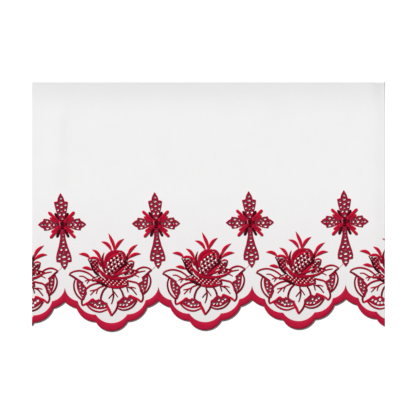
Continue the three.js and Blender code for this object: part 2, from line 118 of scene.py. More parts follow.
# %% [markdown]
# ## A small way to write shaders
# A thread needs sums of waves and noise. Placing each Math node by hand hides the idea, so one
# class holds the output of a node and turns ordinary sums into Math nodes, and a second one makes
# every other node. The same two serve the Geometry Nodes trees further down.

# %% A wire that can be added and multiplied
class Wire:
    """The output of a node. A sum that is written with it becomes a Math node."""

    def __init__(self, graph, socket):
        self.graph = graph
        self.socket = socket

    def __add__(self, other):
        return self.graph.math("ADD", self, other)

    def __sub__(self, other):
        return self.graph.math("SUBTRACT", self, other)

    def __rsub__(self, other):
        return self.graph.math("SUBTRACT", other, self)

    def __mul__(self, other):
        return self.graph.math("MULTIPLY", self, other)

    def __truediv__(self, other):
        return self.graph.math("DIVIDE", self, other)

    __radd__ = __add__
    __rmul__ = __mul__


class Graph:
    """Adds nodes to one tree and joins them."""

    def __init__(self, tree):
        self.tree = tree

    def node(self, kind, settings=None, inputs=None, output=0):
        """A node of this kind: its settings first, then the values or wires of its sockets."""
        made = self.tree.nodes.new(kind)
        for name, value in (settings or {}).items():
            setattr(made, name, value)
        for name, value in (inputs or {}).items():
            if isinstance(value, Wire):
                self.tree.links.new(value.socket, made.inputs[name])
            else:
                made.inputs[name].default_value = value
        return Wire(self, made.outputs[output]) if made.outputs else made

    def math(self, operation, *values):
        return self.node("ShaderNodeMath", {"operation": operation}, dict(enumerate(values)))

    def mix(self, factor, first, second):
        return self.node("ShaderNodeMix", {"data_type": "RGBA"}, {0: factor, 6: first, 7: second}, 2)

    def noise(self, vector, scale, detail):
        return self.node("ShaderNodeTexNoise", {}, {"Vector": vector, "Scale": scale, "Detail": detail})

    def apart(self, vector):
        """The three numbers of a vector, each as a wire."""
        split = self.node("ShaderNodeSeparateXYZ", {}, {0: vector}).socket.node
        return [Wire(self, socket) for socket in split.outputs]

    def vector(self, *numbers):
        """A vector from up to three numbers or wires."""
        return self.node("ShaderNodeCombineXYZ", {}, dict(enumerate(numbers)))


def new_material(name):
    """A node material with nothing in it yet."""
    material = bpy.data.materials.new(name)
    material.use_nodes = True
    material.node_tree.nodes.clear()
    return material, Graph(material.node_tree)


def finish_material(graph, **sockets):
    """Ends a material in one Principled shader. Underscores in a name stand for spaces."""
    inputs = {name.replace("_", " "): value for name, value in sockets.items()}
    shader = graph.node("ShaderNodeBsdfPrincipled", {}, inputs)
    graph.node("ShaderNodeOutputMaterial", {}, {"Surface": shader})


# %% [markdown]
# ## White for the table
# The table only carries the shadow, so a plain matt white is enough. It is a little whiter than
# the linen, as the page behind the real cloth is.

# %% Table material
white, graph = new_material("table_white")
finish_material(graph, Base_Color=(0.93, 0.93, 0.93, 1), Roughness=0.9)
table_mesh.materials.append(white)

# %% [markdown]
# ## The linen
# Plain linen shows its weave close up and fine uneven slubs further away. The weave follows a
# flat map of the cut cloth, so that it turns under with the fold. Two waves, one for each set of
# threads, raise the crossings. Noise that is drawn out along each direction makes the slubs.
# The photo is a shade greyer towards the scallops, so a slow change of tone follows it.

# %% Linen material
WEAVE_PITCH = 0.62
WEAVE_DEPTH = 0.06
SLUB_STRETCHES = ((900, 28, 1), (28, 900, 1))
LINEN_SHADE = (219, 218, 218)
LINEN_LIGHT = (230, 229, 229)
GREYED_LINEN = (200, 194, 195)
GREY_FROM = 20  # mm up the cloth, about where the crosses end
GREY_SLOPE = 4.5  # for each metre, so it comes to 1 at the lobes
GREY_SHARE = 0.45


def linen_material():
    material, graph = new_material("white_linen")
    flat = graph.node("ShaderNodeUVMap", {"uv_map": "cut_cloth"})
    across, along, _ = graph.apart(flat)
    turn = 2 * math.pi / (WEAVE_PITCH * MM)
    warp = graph.math("SINE", across * turn)
    weft = graph.math("SINE", along * turn)
    slubs = []
    for stretch in SLUB_STRETCHES:
        drawn_out = graph.node("ShaderNodeMapping", {}, {"Vector": flat, "Scale": stretch})
        slubs.append(graph.noise(drawn_out, 1.0, 2.0))
    uneven = (slubs[0] + slubs[1]) * 0.5
    broad = graph.noise(flat, 22.0, 2.0)
    tone = graph.mix(uneven * 0.6 + broad * 0.4, to_linear(*LINEN_SHADE), to_linear(*LINEN_LIGHT))
    greyed = graph.math("MAXIMUM", (GREY_FROM * MM - along) * GREY_SLOPE, 0.0)
    tone = graph.mix(greyed * GREY_SHARE, tone, to_linear(*GREYED_LINEN))
    relief = {"Strength": 0.55, "Distance": WEAVE_DEPTH * MM, "Height": warp * weft * 0.5 + uneven}
    bump = graph.node("ShaderNodeBump", {}, relief)
    finish_material(graph, Base_Color=tone, Roughness=0.86, Normal=bump, Sheen_Weight=0.08)
    return material


LINEN_CLOTH = linen_material()
print("made", LINEN_CLOTH.name)

# %% [markdown]
# ## The embroidery thread
# Machine embroidery uses a glossy thread laid side by side, so a sewn shape is a bundle of fine
# parallel lines with a soft shine. One function makes every colour. The lines follow a map that
# runs along each cord and raise a bump. They also darken the colour a little between threads,
# which is painted shade in the grooves. A slow noise makes some stitches deeper in colour and
# also moves the roughness a little, as thread that lies tighter shines more.

# %% Thread materials
THREAD_PITCH = 0.5
BAND_PITCH = 0.7
THREAD_SLANT = 0.4
THREAD_DEPTH = 0.09
GLOSS_TINT = 0.75


def thread_material(name, colour, shade, pitch=THREAD_PITCH):
    material, graph = new_material(name)
    along, around, _ = graph.apart(graph.node("ShaderNodeUVMap", {"uv_map": "stitch"}))
    lines = graph.math("SINE", (along + around * (THREAD_SLANT * MM)) * (2 * math.pi / (pitch * MM)))
    solid = graph.node("ShaderNodeTexCoord", output="Object")
    slow = graph.noise(solid, 210.0, 3.0)
    fine = graph.noise(solid, 1300.0, 1.0)
    # Noise gives the thread's own uneven tone. The stitch lines add a little painted shade between
    # threads.
    depth = slow * 0.9 + fine * 0.35 + lines * 0.08 - 0.12
    gloss = tuple(1 - GLOSS_TINT + GLOSS_TINT * c for c in to_linear(*colour)[:3]) + (1.0,)
    tone = graph.mix(depth, to_linear(*shade), to_linear(*colour))
    relief = {"Strength": 0.5, "Distance": THREAD_DEPTH * MM, "Height": lines * 0.5 + fine}
    bump = graph.node("ShaderNodeBump", {}, relief)
    shine = {"Roughness": 0.46 + slow * 0.2, "Specular_IOR_Level": 0.12, "Specular_Tint": gloss}
    finish_material(graph, Base_Color=tone, Normal=bump, **shine)
    return material


THREADS = {
    "bright": thread_material("bright_red_thread", (196, 16, 50), (164, 12, 40)),
    "red": thread_material("deep_red_thread", (172, 14, 44), (136, 10, 36)),
    "claret": thread_material("claret_thread", (164, 24, 54), (116, 14, 38)),
    "wine": thread_material("wine_thread", (138, 8, 36), (98, 6, 26)),
    "dark": thread_material("dark_thread", (80, 6, 22), (48, 5, 14)),
    "rose": thread_material("pale_rose_thread", (206, 150, 158), (180, 116, 128)),
    "white": thread_material("white_thread", (228, 224, 222), (212, 204, 202)),
}
TONES = list(THREADS)
BAND_THREAD = thread_material("band_thread", (177, 24, 55), (160, 20, 50), BAND_PITCH)
print("made", len(THREADS) + 1, "threads")

# %% [markdown]
# ## Where the pattern repeats
# The band, the flowers and the crosses repeat every 162.4 mm and climb slightly to the right.
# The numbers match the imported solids, so each piece lands on the node that it stands for. The
# right side of the cloth casts almost no shadow in the photo, so it lies pressed thin there.

# %% Sizes of the cloth and places of the repeat
HALF_WIDTH = 306
PRESSED_REACH = 18
PRESSED_BY = 0.72
FAR_EDGE = 216.5
LINEN = 1.2
REPEAT = 162.4
MIDDLE_FLOWER_X = -5.3
CLIMB = 0.0107
FLOWERS = range(-2, 3)


def flower_x(number):
    return MIDDLE_FLOWER_X + number * REPEAT


def baseline(x):
    """Height of the lowest point of a scallop at this place along the cloth."""
    return -FAR_EDGE + CLIMB * (x - flower_x(-1))


# %% [markdown]
# ## The scalloped edge as a rule
# Each scallop is five arcs, mirrored about its middle: a deep one below the flower and two
# shallow steps up to the notch on each side. The same rule gives the outer edge, the inner edge
# and any line between them, which is all that the band and the linen's cut edge need.

# %% Arcs and scallops
OUTER_EDGE = [(27.8, 16.5, 16.5), (61.2, 40.8, 6.5), (REPEAT / 2, 51.2, 1.5)]
INNER_EDGE = [(27.4, 28.0, 15.0), (59.0, 52.0, 7.0), (REPEAT / 2, 75.0, 5.2)]
ARC_STEPS = (22, 11, 7)


def arc(start, end, bulge, steps):
    """Points of an arc that bulges to the right of its way, without its last point."""
    start, end = np.array(start, float), np.array(end, float)
    way = end - start
    chord = math.hypot(*way)
    radius = chord**2 / (8 * bulge) + bulge / 2
    half = math.asin(min(1, chord / (2 * radius)))
    side = math.pi - half if bulge > chord / 2 else half
    forward = way / chord
    out = np.array([forward[1], -forward[0]])
    centre = (start + end) / 2 + out * (bulge - radius)
    angles = -side + 2 * side * np.arange(steps) / steps
    return [centre + radius * (math.sin(a) * forward + math.cos(a) * out) for a in angles]


def scallop(share):
    """One scallop's line, at a share of the way from the band's outer edge to its inner edge."""
    rows = [[a + (b - a) * share for a, b in zip(o, i)] for o, i in zip(OUTER_EDGE, INNER_EDGE)]
    (x1, y1, _), (x2, y2, b2), (x3, y3, b3) = rows
    b1 = y1 - (INNER_EDGE[0][1] - INNER_EDGE[0][2]) * share
    corners = [(-x3, y3), (-x2, y2), (-x1, y1), (x1, y1), (x2, y2), (x3, y3)]
    steps = (ARC_STEPS[2], ARC_STEPS[1], ARC_STEPS[0], ARC_STEPS[1], ARC_STEPS[2])
    line = []
    for start, end, bulge, count in zip(corners, corners[1:], (b3, b2, b1, b2, b3), steps):
        line += arc(start, end, bulge, count)
    return line


def edge_line(share):
    """The scalloped line along the whole cloth, a little past both sides."""
    line = []
    for number in FLOWERS:
        line += [(flower_x(number) + x, baseline(flower_x(number) + x) + y) for x, y in scallop(share)]
    return np.array(line)


print("points on the edge:", len(edge_line(0)))

# %% [markdown]
# ## Cutting a piece off cleanly
# The cloth is a cut length, so its left and right sides slice through the band and two flowers.
# Cutting a mesh leaves it open. The same bisect step on both sides, followed by filling each
# loop that it opened, keeps every piece closed.

# %% Trim to the sides of the cloth
def trimmed(mesh, half_width=HALF_WIDTH * MM):
    """Cuts the mesh at the left and right side of the cloth and closes the cut ends."""
    shape = bmesh.new()
    shape.from_mesh(mesh)
    for side in (-1, 1):
        everything = shape.verts[:] + shape.edges[:] + shape.faces[:]
        plane = {"plane_co": (side * half_width, 0, 0), "plane_no": (side, 0, 0)}
        cut = bmesh.ops.bisect_plane(shape, geom=everything, clear_outer=True, **plane)
        rims = [item for item in cut["geom_cut"] if isinstance(item, bmesh.types.BMEdge)]
        bmesh.ops.holes_fill(shape, edges=rims, sides=0)
    shape.to_mesh(mesh)
    shape.free()
    return mesh


# %% [markdown]
# ## The red band
# A dense band of thread wraps the cut edge. It is slightly domed, falls steeply to the table on
# the outside and has a finer row of stitches along its inside. A swept curve has one width, but
# this band is wide below the flowers and narrow at the steps. So one cross-section is stretched
# between the outer and the inner line, from a short table of how far across and how high each
# of its points lies.

# %% Band
WRAP_WIDTH = 12.5
BAND_SECTION = [
    (0.42, 0.02), (0.02, 0.02), (-0.055, 0.5), (-0.08, 1.2), (-0.055, 1.9), (0.03, 2.4), (0.13, 2.62),
    (0.32, 2.78), (0.55, 2.8), (0.74, 2.66), (0.86, 2.42), (0.895, 2.2), (0.93, 2.36), (0.965, 2.3),
    (0.99, 1.95), (1.0, 1.5), (0.99, 1.22), (0.43, 1.22),
]


def band_mesh():
    outer, inner = edge_line(0), edge_line(1)
    steps = np.linalg.norm(np.diff((outer + inner) / 2, axis=0), axis=1)
    travelled = np.concatenate([[0], np.cumsum(steps)])
    stations, ring = len(outer), len(BAND_SECTION)
    points = []
    for a, b in zip(outer, inner):
        wrap = min(1, WRAP_WIDTH / math.hypot(*(b - a))) ** 3
        for share, height in BAND_SECTION:
            across = share if share > 0 else share * wrap
            points.append([*((a + (b - a) * across) * MM), height * MM])
    faces, maps = [], []
    for i in range(stations - 1):
        for j in range(ring):
            k = (j + 1) % ring
            faces.append((i * ring + j, i * ring + k, (i + 1) * ring + k, (i + 1) * ring + j))
            here, there = travelled[i] * MM, travelled[i + 1] * MM
            low, high = j / ring, (j + 1) / ring
            maps += [(here, low), (here, high), (there, high), (there, low)]
    faces += [tuple(reversed(range(ring))), tuple((stations - 1) * ring + j for j in range(ring))]
    maps += [(0, 0)] * (2 * ring)
    mesh = bpy.data.meshes.new("scallop_band")
    mesh.from_pydata(points, [], faces)
    mesh.uv_layers.new(name="stitch").data.foreach_set("uv", np.array(maps).ravel())
    mesh.materials.append(BAND_THREAD)
    mesh.shade_smooth()
    return trimmed(mesh)


def smooth_step(value):
    value = np.clip(value, 0, 1)
    return value * value * (3 - 2 * value)


def pressed(x):
    """The share of its height that the cloth keeps. It grows less near the right side."""
    return 1 - PRESSED_BY * smooth_step((x - HALF_WIDTH + PRESSED_REACH) / PRESSED_REACH)


def places_of(mesh):
    """The places of a mesh's points, one in each row."""
    points = np.empty(len(mesh.vertices) * 3)
    mesh.vertices.foreach_get("co", points)
    return points.reshape(-1, 3)


def press(mesh):
    """Brings a piece down to the table near the right side of the cloth."""
    points = places_of(mesh)
    points[:, 2] *= pressed(points[:, 0] / MM)
    mesh.vertices.foreach_set("co", points.ravel())
    return mesh


def outward(mesh):
    """Turns every face of a closed mesh outwards."""
    shape = bmesh.new()
    shape.from_mesh(mesh)
    bmesh.ops.recalc_face_normals(shape, faces=shape.faces)
    shape.to_mesh(mesh)
    shape.free()
    return mesh


band = linked("scallop_band", press(outward(band_mesh())))
print("band:", len(band.data.polygons), "faces")

# %% [markdown]
# ## A satin cord for every stitched line
# Outlines, veins, rays and slender leaves are all satin stitch: thread laid across a line, wide
# or narrow, with a rounded top. There are several hundred of them, so a Geometry Nodes tree
# sweeps them all. Its input is a mesh of bare lines with a half width and a tone at each point.
# The section is a circle, flattened so that a wide leaf stands only a little higher than a thin
# vein. Building each as its own curve object would work too, but would be far slower.

# %% The tree that sweeps satin cords
SATIN_SIDES = 10
SATIN_BODY = 0.35
SATIN_RISE = 0.22  # for each mm of half width, on top of the body


def new_tree(name, rows):
    """A Geometry Nodes tree, its graph and its inputs: the ones in the rows and one for each thread."""
    tree = bpy.data.node_groups.new(name, "GeometryNodeTree")
    for label, kind in rows + [(tone, "Material") for tone in TONES]:
        tree.interface.new_socket(label, in_out="INPUT", socket_type="NodeSocket" + kind)
    tree.interface.new_socket("Geometry", in_out="OUTPUT", socket_type="NodeSocketGeometry")
    graph = Graph(tree)
    start = tree.nodes.new("NodeGroupInput")
    return tree, graph, {socket.name: Wire(graph, socket) for socket in start.outputs if socket.name}


def named(graph, name):
    return graph.node("GeometryNodeInputNamedAttribute", {"data_type": "FLOAT"}, {"Name": name})


def stored(graph, geometry, name, value, kind="FLOAT", domain="POINT"):
    settings = {"data_type": kind, "domain": domain}
    inputs = {"Geometry": geometry, "Name": name, "Value": value}
    return graph.node("GeometryNodeStoreNamedAttribute", settings, inputs)


def paint_by_tone(graph, geometry, given):
    """Ends a tree: real geometry instead of instances, then one thread for each tone."""
    geometry = graph.node("GeometryNodeRealizeInstances", {}, {"Geometry": geometry})
    for number, tone in enumerate(TONES):
        chosen = graph.math("COMPARE", named(graph, "tone"), number, 0.1)
        inputs = {"Geometry": geometry, "Selection": chosen, "Material": given[tone]}
        geometry = graph.node("GeometryNodeSetMaterial", {}, inputs)
    graph.node("NodeGroupOutput", {}, {"Geometry": geometry})


def satin_tree():
    rows = [("Lines", "Geometry"), ("Step", "Float"), ("Low", "Float")]
    tree, graph, given = new_tree("satin_cords", rows)
    lines = graph.node("GeometryNodeMeshToCurve", {}, {"Mesh": given["Lines"]})
    spacing = {"Curve": lines, "Length": given["Step"]}
    lines = graph.node("GeometryNodeResampleCurve", {"mode": "LENGTH"}, spacing)
    lines = graph.node("GeometryNodeSetCurveNormal", {"mode": "Z_UP"}, {"Curve": lines})
    travelled = graph.node("GeometryNodeSplineParameter", output="Length")
    lines = stored(graph, lines, "along", travelled)
    circle = {"Resolution": SATIN_SIDES, "Radius": MM}
    section = graph.node("GeometryNodeCurvePrimitiveCircle", {}, circle)
    quarter_turn = {"Geometry": section, "Rotation": (0, 0, math.pi / 2)}
    section = graph.node("GeometryNodeTransform", {}, quarter_turn)
    section = stored(graph, section, "around", graph.node("GeometryNodeSplineParameter", output="Factor"))
    half = named(graph, "half")
    sweep = {"Curve": lines, "Profile Curve": section, "Scale": half, "Fill Caps": True}
    swept = graph.node("GeometryNodeCurveToMesh", {}, sweep)
    x, y, z = graph.apart(graph.node("GeometryNodeInputPosition"))
    share = (z / (half * MM) + 1) * 0.5
    height = given["Low"] + share * (half * SATIN_RISE + SATIN_BODY) * MM
    flattened = graph.vector(x, y, height)
    swept = graph.node("GeometryNodeSetPosition", {}, {"Geometry": swept, "Position": flattened})
    laid = graph.vector(named(graph, "along"), named(graph, "around"))
    swept = stored(graph, swept, "stitch", laid, "FLOAT2", "CORNER")
    swept = graph.node("GeometryNodeSetShadeSmooth", {}, {"Geometry": swept})
    paint_by_tone(graph, swept, given)
    return tree


SATIN_TREE = satin_tree()
print("satin tree:", len(SATIN_TREE.nodes), "nodes")

# %% [markdown]
# ## Knots by instancing
# The seeds of the fruit and the dotted filling of the collar are small raised knots. One low
# dome of a few dozen faces is placed on every point, stretched and turned by numbers stored
# there, and then made real, because an exported cloth can't hold instances.

# %% The tree that places knots
def knot_tree():
    tree, graph, given = new_tree("thread_knots", [("Points", "Geometry"), ("Rise", "Float")])
    dome = graph.node("GeometryNodeMeshUVSphere", {}, {"Segments": 8, "Rings": 4, "Radius": MM})
    dome = graph.node("GeometryNodeSetShadeSmooth", {}, {"Geometry": dome})
    points = graph.node("GeometryNodeMeshToPoints", {}, {"Mesh": given["Points"]})
    size = graph.vector(named(graph, "wide"), named(graph, "long"), given["Rise"])
    turn = graph.vector(0, 0, named(graph, "turn"))
    copies = {"Points": points, "Instance": dome, "Rotation": turn, "Scale": size}
    placed_domes = graph.node("GeometryNodeInstanceOnPoints", {}, copies)
    domes = graph.node("GeometryNodeRealizeInstances", {}, {"Geometry": placed_domes})
    domes = stored(graph, domes, "stitch", graph.node("GeometryNodeInputPosition"), "FLOAT2", "CORNER")
    paint_by_tone(graph, domes, given)
    return tree


KNOT_TREE = knot_tree()
print("knot tree:", len(KNOT_TREE.nodes), "nodes")

# %% [markdown]
# ## Running a tree and keeping its mesh
# A modifier's inputs are found by their names in the tree and set by their identifiers before
# anything is evaluated. The result is copied into a plain mesh, and the modifier goes with the
# helper object, so nothing live is left on the finished piece.

# %% Evaluate a tree on a bare mesh
def evaluated(helper):
    """A plain mesh of what a helper object shows. The helper is removed."""
    graph_now = bpy.context.evaluated_depsgraph_get()
    mesh = bpy.data.meshes.new_from_object(helper.evaluated_get(graph_now), depsgraph=graph_now)
    bpy.data.objects.remove(helper)
    return mesh


def worked(name, tree, points, edges, attributes, **inputs):
    """The mesh that a tree makes from points, edges and a number at each point."""
    bare = bpy.data.meshes.new(name)
    bare.from_pydata(points, edges, [])
    for label, values in attributes.items():
        bare.attributes.new(label, "FLOAT", "POINT").data.foreach_set("value", values)
    helper = linked(name, bare)
    modifier = helper.modifiers.new("sewing", "NODES")
    modifier.node_group = tree
    inlets = [item for item in tree.interface.items_tree if item.in_out == "INPUT"]
    sockets = {item.name: item.identifier for item in inlets}
    for label, value in {**inputs, **THREADS}.items():
        modifier[sockets[label]] = value
    mesh = evaluated(helper)
    for label in ("half", "tone", "along", "around", "wide", "long", "turn"):
        if label in mesh.attributes:
            mesh.attributes.remove(mesh.attributes[label])
    return mesh


def smooth_line(points, spans=5):
    """A line through the points with no corner in it, a point and a half width in each row."""
    rows = np.array(points, float)
    if len(rows) < 3:
        return rows
    padded = np.vstack([2 * rows[0] - rows[1], rows, 2 * rows[-1] - rows[-2]])
    line = []
    for a, b, c, d in zip(padded, padded[1:], padded[2:], padded[3:]):
        for t in np.arange(spans) / spans:
            bend = (2 * a - 5 * b + 4 * c - d) * t**2
            twist = (3 * b - a - 3 * c + d) * t**3
            line.append(0.5 * (2 * b + (c - a) * t + bend + twist))
    return np.vstack([line, rows[-1]])


def satin(name, strokes, low, step=1.4):
    """One mesh for all strokes. Each is (tone, half widths, points, smooth or straight)."""
    points, edges, halves, tones = [], [], [], []
    for tone, widths, path, *corners in strokes:
        path = np.array(path, float) if corners else smooth_line(path)
        share = np.concatenate([[0], np.cumsum(np.hypot(*np.diff(path, axis=0).T))])
        first = len(points)
        points += [(x * MM, y * MM, 0) for x, y in path]
        edges += [(first + i, first + i + 1) for i in range(len(path) - 1)]
        spread = np.atleast_1d(widths)
        halves += list(np.interp(share / share[-1], np.linspace(0, 1, len(spread)), spread))
        tones += [TONES.index(tone)] * len(path)
    values = {"half": halves, "tone": tones}
    return worked(name, SATIN_TREE, points, edges, values, Step=step * MM, Low=low * MM)


def knots(name, rows, low, rise):
    """One mesh for all knots. Each is (tone, x, y, half width, half length, turn in degrees)."""
    columns = list(zip(*rows))
    values = {
        "tone": [TONES.index(tone) for tone in columns[0]],
        "wide": columns[3],
        "long": columns[4],
        "turn": [math.radians(turn) for turn in columns[5]],
    }
    places = [(x * MM, y * MM, low * MM) for x, y in zip(columns[1], columns[2])]
    return worked(name, KNOT_TREE, places, [], values, Rise=rise)


# %% [markdown]
# ## Plates of thread with round holes
# The arms of the crosses and the panels between the petals are cutwork: thread closes round
# small holes. A flat curve in Blender fills itself, leaves its inner rings open and can round
# its own rims, which is less work than cutting holes into a mesh and rounding them after.

# %% A plate from a flat curve
def plate(name, tone, outlines, holes, low, high, rim=0.42):
    """A closed plate with rounded rims, between two heights, with each hole left open."""
    drawing = bpy.data.curves.new(name, "CURVE")
    drawing.dimensions = "2D"
    drawing.fill_mode = "BOTH"
    drawing.extrude = ((high - low) / 2 - rim) * MM
    drawing.bevel_depth = rim * MM
    drawing.bevel_resolution = 1
    drawing.offset = -rim * MM
    for ring in list(outlines) + list(holes):
        line = drawing.splines.new("POLY")
        line.points.add(len(ring) - 1)
        line.points.foreach_set("co", np.array([(x * MM, y * MM, 0, 1) for x, y in ring]).ravel())
        line.use_cyclic_u = True
    mesh = evaluated(linked(name, drawing))
    shape = bmesh.new()
    shape.from_mesh(mesh)
    bmesh.ops.remove_doubles(shape, verts=shape.verts, dist=0.002 * MM)
    bmesh.ops.translate(shape, verts=shape.verts, vec=(0, 0, (low + high) / 2 * MM))
    bmesh.ops.recalc_face_normals(shape, faces=shape.faces)
    laid = shape.loops.layers.uv.get("stitch") or shape.loops.layers.uv.new("stitch")
    for face in shape.faces:
        face.smooth = abs(face.normal.z) < 0.99
        for corner in face.loops:
            corner[laid].uv = corner.vert.co.xy
    shape.to_mesh(mesh)
    shape.free()
    mesh.materials.clear()
    mesh.materials.append(THREADS[tone])
    return mesh


def oval(x, y, across, along, sides=14):
    angles = 2 * np.pi * np.arange(sides) / sides
    return [(x + across * math.cos(a), y + along * math.sin(a)) for a in angles]


def disc(x, y, radius, sides=12):
    return oval(x, y, radius, radius, sides)


def sewn_together(name, meshes):
    """Joins meshes into one, keeping each one's thread and map."""
    parts = [linked(name, mesh) for mesh in meshes]
    with bpy.context.temp_override(active_object=parts[0], selected_editable_objects=parts):
        bpy.ops.object.join()
    mesh = parts[0].data
    bpy.data.objects.remove(parts[0])
    return mesh


# %% [markdown]
# ## One cross
# Each cross has four openwork arms, twelve rays between them and a dark padded knot in the
# middle. An arm is drawn by its half width at a few distances from the middle, so both sides
# come out alike. The holes are listed on one side and mirrored. A satin line runs round each
# arm, and a finer one round each hole, which is how cutwork keeps its edge from fraying.

# %% Arms, holes and rays of the cross
ARMS = {
    "head": [(6, 4.7), (17, 7.4), (29, 10.6), (38.5, 12.2), (39.5, 6.4), (46, 5.0), (54, 0.6)],
    "side": [(6, 4.2), (13, 5.6), (23, 9.4), (31, 10.4), (32, 6.6), (36.5, 4.6), (41.5, 0.6)],
    "foot": [
        (6, 3.7), (24, 4.6), (38, 7.8), (50, 11.8), (57.2, 13.4), (64, 13.2), (65, 6.9),
        (70.8, 5.6), (78.0, 0.9),
    ],
}
ARM_HOLES = {  # how far along the arm and across it, half its width across, half its height along
    "head": [
        (10.2, 0, 2.2, 2.0), (18, 3.6, 2.2, 2.5), (23.8, 0, 2.2, 1.6), (25.8, 6.4, 2.2, 2.2),
        (31, 0, 2.7, 2.2), (34.2, 7.0, 2.5, 2.0), (38.6, 0, 3.7, 1.9), (45.6, 0, 2.3, 1.9),
    ],
    "side": [
        (9.4, 0, 1.6, 1.6), (14.8, 0, 2.4, 1.8), (18.8, 4.6, 1.7, 2.1), (22.6, 0, 2.6, 2.5),
        (26.2, 6.2, 2.1, 2.8), (29.8, 0, 1.9, 1.6), (35, 0, 1.8, 2.1),
    ],
    "foot": [
        (11.6, 0, 1.3, 1.4), (17.5, 0, 1.6, 1.6), (23.5, 0, 1.8, 1.7), (30, 0, 2.6, 2.1),
        (36.6, 0, 3.3, 1.9), (43, 4.2, 2.3, 2.6), (48.6, 0, 2.3, 1.4), (51.6, 7.1, 2.2, 2.0),
        (55.4, 0, 4.0, 2.3), (58.8, 8.2, 2.6, 2.4), (63.3, 0, 4.1, 1.9), (69.6, 0, 3.0, 2.2),
    ],
}
ARM_TURNS = [("head", 90), ("foot", -90), ("side", 0), ("side", 180)]
ARM_EDGES = {"head": ("bright", "red"), "foot": ("bright", "wine"), "side": ("red", "bright")}
HOLE_EDGE = 0.5
ARM_EDGE_INSET = 0.9
PLATE_TOP = 2.1
RAY_STARTS = {"bright": 6, "dark": 10}
# The pale rose spark on each ray and the shine on the knot are painted highlights.
RAY_SPARK = ((10.5, -1.6), (12, 1.8))
PARTINGS = (37, -41)  # where a dark thread lies between two rays
PARTING_REACH = (8, 14.5, 21)
BOSS_PLACE = (0.3, 1.1)
BOSS_SHINE = [(-2.6, 5.6), (-3.9, 2.8), (-4, -0.4), (-3, -3.2)]
RAYS = [
    ("dark", 60, 23.4, 2.5), ("bright", 44, 31.8, 2.8), ("bright", 30, 24.2, 2.3),
    ("bright", -35, 23.8, 2.3), ("bright", -47, 32.4, 2.8), ("dark", -65, 25.0, 2.5),
]


def turned(points, angle):
    """Points turned about the middle of a motif, by an angle in degrees."""
    cos, sin = math.cos(math.radians(angle)), math.sin(math.radians(angle))
    return [(x * cos - y * sin, x * sin + y * cos) for x, y in points]


def closed(ring):
    return ring + ring[:1]


def arm_line(rows, side, inset=0.0):
    """One side of an arm as (along, across), moved inwards by an inset."""
    line = [(along, side * max(0.1, half - inset)) for along, half in rows]
    tip, across = line[-1]
    return line[:-1] + [(tip - inset, across)]


def rounded_end(half, shoulder, parts=24):
    """Half widths along a ray that keeps its width up to its shoulder and then ends in a half circle."""
    share = np.arange(parts + 1) / parts
    beyond = np.clip((share - shoulder) / (1 - shoulder), 0, 1)
    return half * np.sqrt(np.maximum(0.02, 1 - beyond**2))


def cross_mesh():
    outlines, holes, cords, hatch = [], [], [], []
    for arm, angle in ARM_TURNS:
        rows = ARMS[arm]
        outlines.append(turned(arm_line(rows, 1) + arm_line(rows, -1)[::-1], angle))
        for along, across, wide, tall in ARM_HOLES[arm]:
            for side in (1, -1) if across else (1,):
                holes.append(turned(oval(along, across * side, tall, wide), angle))
                edge = turned(oval(along, across * side, tall + HOLE_EDGE, wide + HOLE_EDGE), angle)
                cords.append(("red", 0.5, closed(edge), "straight"))
        for side, tone in zip((1, -1), ARM_EDGES[arm]):
            cords.append((tone, 1.0, turned(arm_line(rows, side, ARM_EDGE_INSET), angle), "straight"))
    for tone, angle, length, half in RAYS:
        for way in (angle, 180 - angle):
            start = RAY_STARTS[tone]
            reach = (start, length - half, length - half * 0.3, length)
            shoulder = (length - half - start) / (length - start)
            path = turned([(along, 0) for along in reach], way)
            cords.append((tone, rounded_end(half, shoulder), path, "straight"))
            # Each bright ray carries a claret stroke of painted shade and a short pale rose stroke of
            # painted highlight.
            if tone == "bright":
                shaded = turned([(length * 0.3, 0.5), (length * 0.62, 0)], way)
                hatch.append(("claret", [half * 0.9, half * 0.6, 0.2], shaded))
                hatch.append(("rose", [0.2, 0.45, 0.2], turned(RAY_SPARK, way)))
    for angle in PARTINGS:
        for way in (angle, 180 - angle):
            path = turned([(along, 0) for along in PARTING_REACH], way)
            hatch.append(("wine", [0.3, 0.8, 0.9, 0.4], path))
    return sewn_together("cross", [
        plate("arms", "claret", outlines, holes, LINEN, PLATE_TOP),
        plate("hub", "wine", [disc(0, 0, 9.0, 20)], [], LINEN, PLATE_TOP),
        satin("cross_cords", cords, low=1.4),
        satin("cross_hatch", hatch, low=1.8),
        plate("boss", "wine", [oval(*BOSS_PLACE, 5.0, 6.8, 24)], [], LINEN, 2.5, rim=0.6),
        plate("boss_core", "dark", [oval(*BOSS_PLACE, 2.5, 5.0, 20)], [], LINEN, 3.3, rim=0.9),
        # The pale rose stroke along the knot's left side is a painted highlight.
        satin("boss_shine", [("rose", [0.2, 0.5, 0.5, 0.2], BOSS_SHINE)], low=2.4),
    ])


CROSS = cross_mesh()
print("one cross:", len(CROSS.polygons), "faces")

# %% [markdown]
# ## One flower
# The flower is read as a pomegranate on a lotus. It is drawn once, from the lowest point of its
# scallop. Rows below give a thread, its half width along the way, and a few points that the line
# passes through. Leaves are lines too, only wider in the middle.

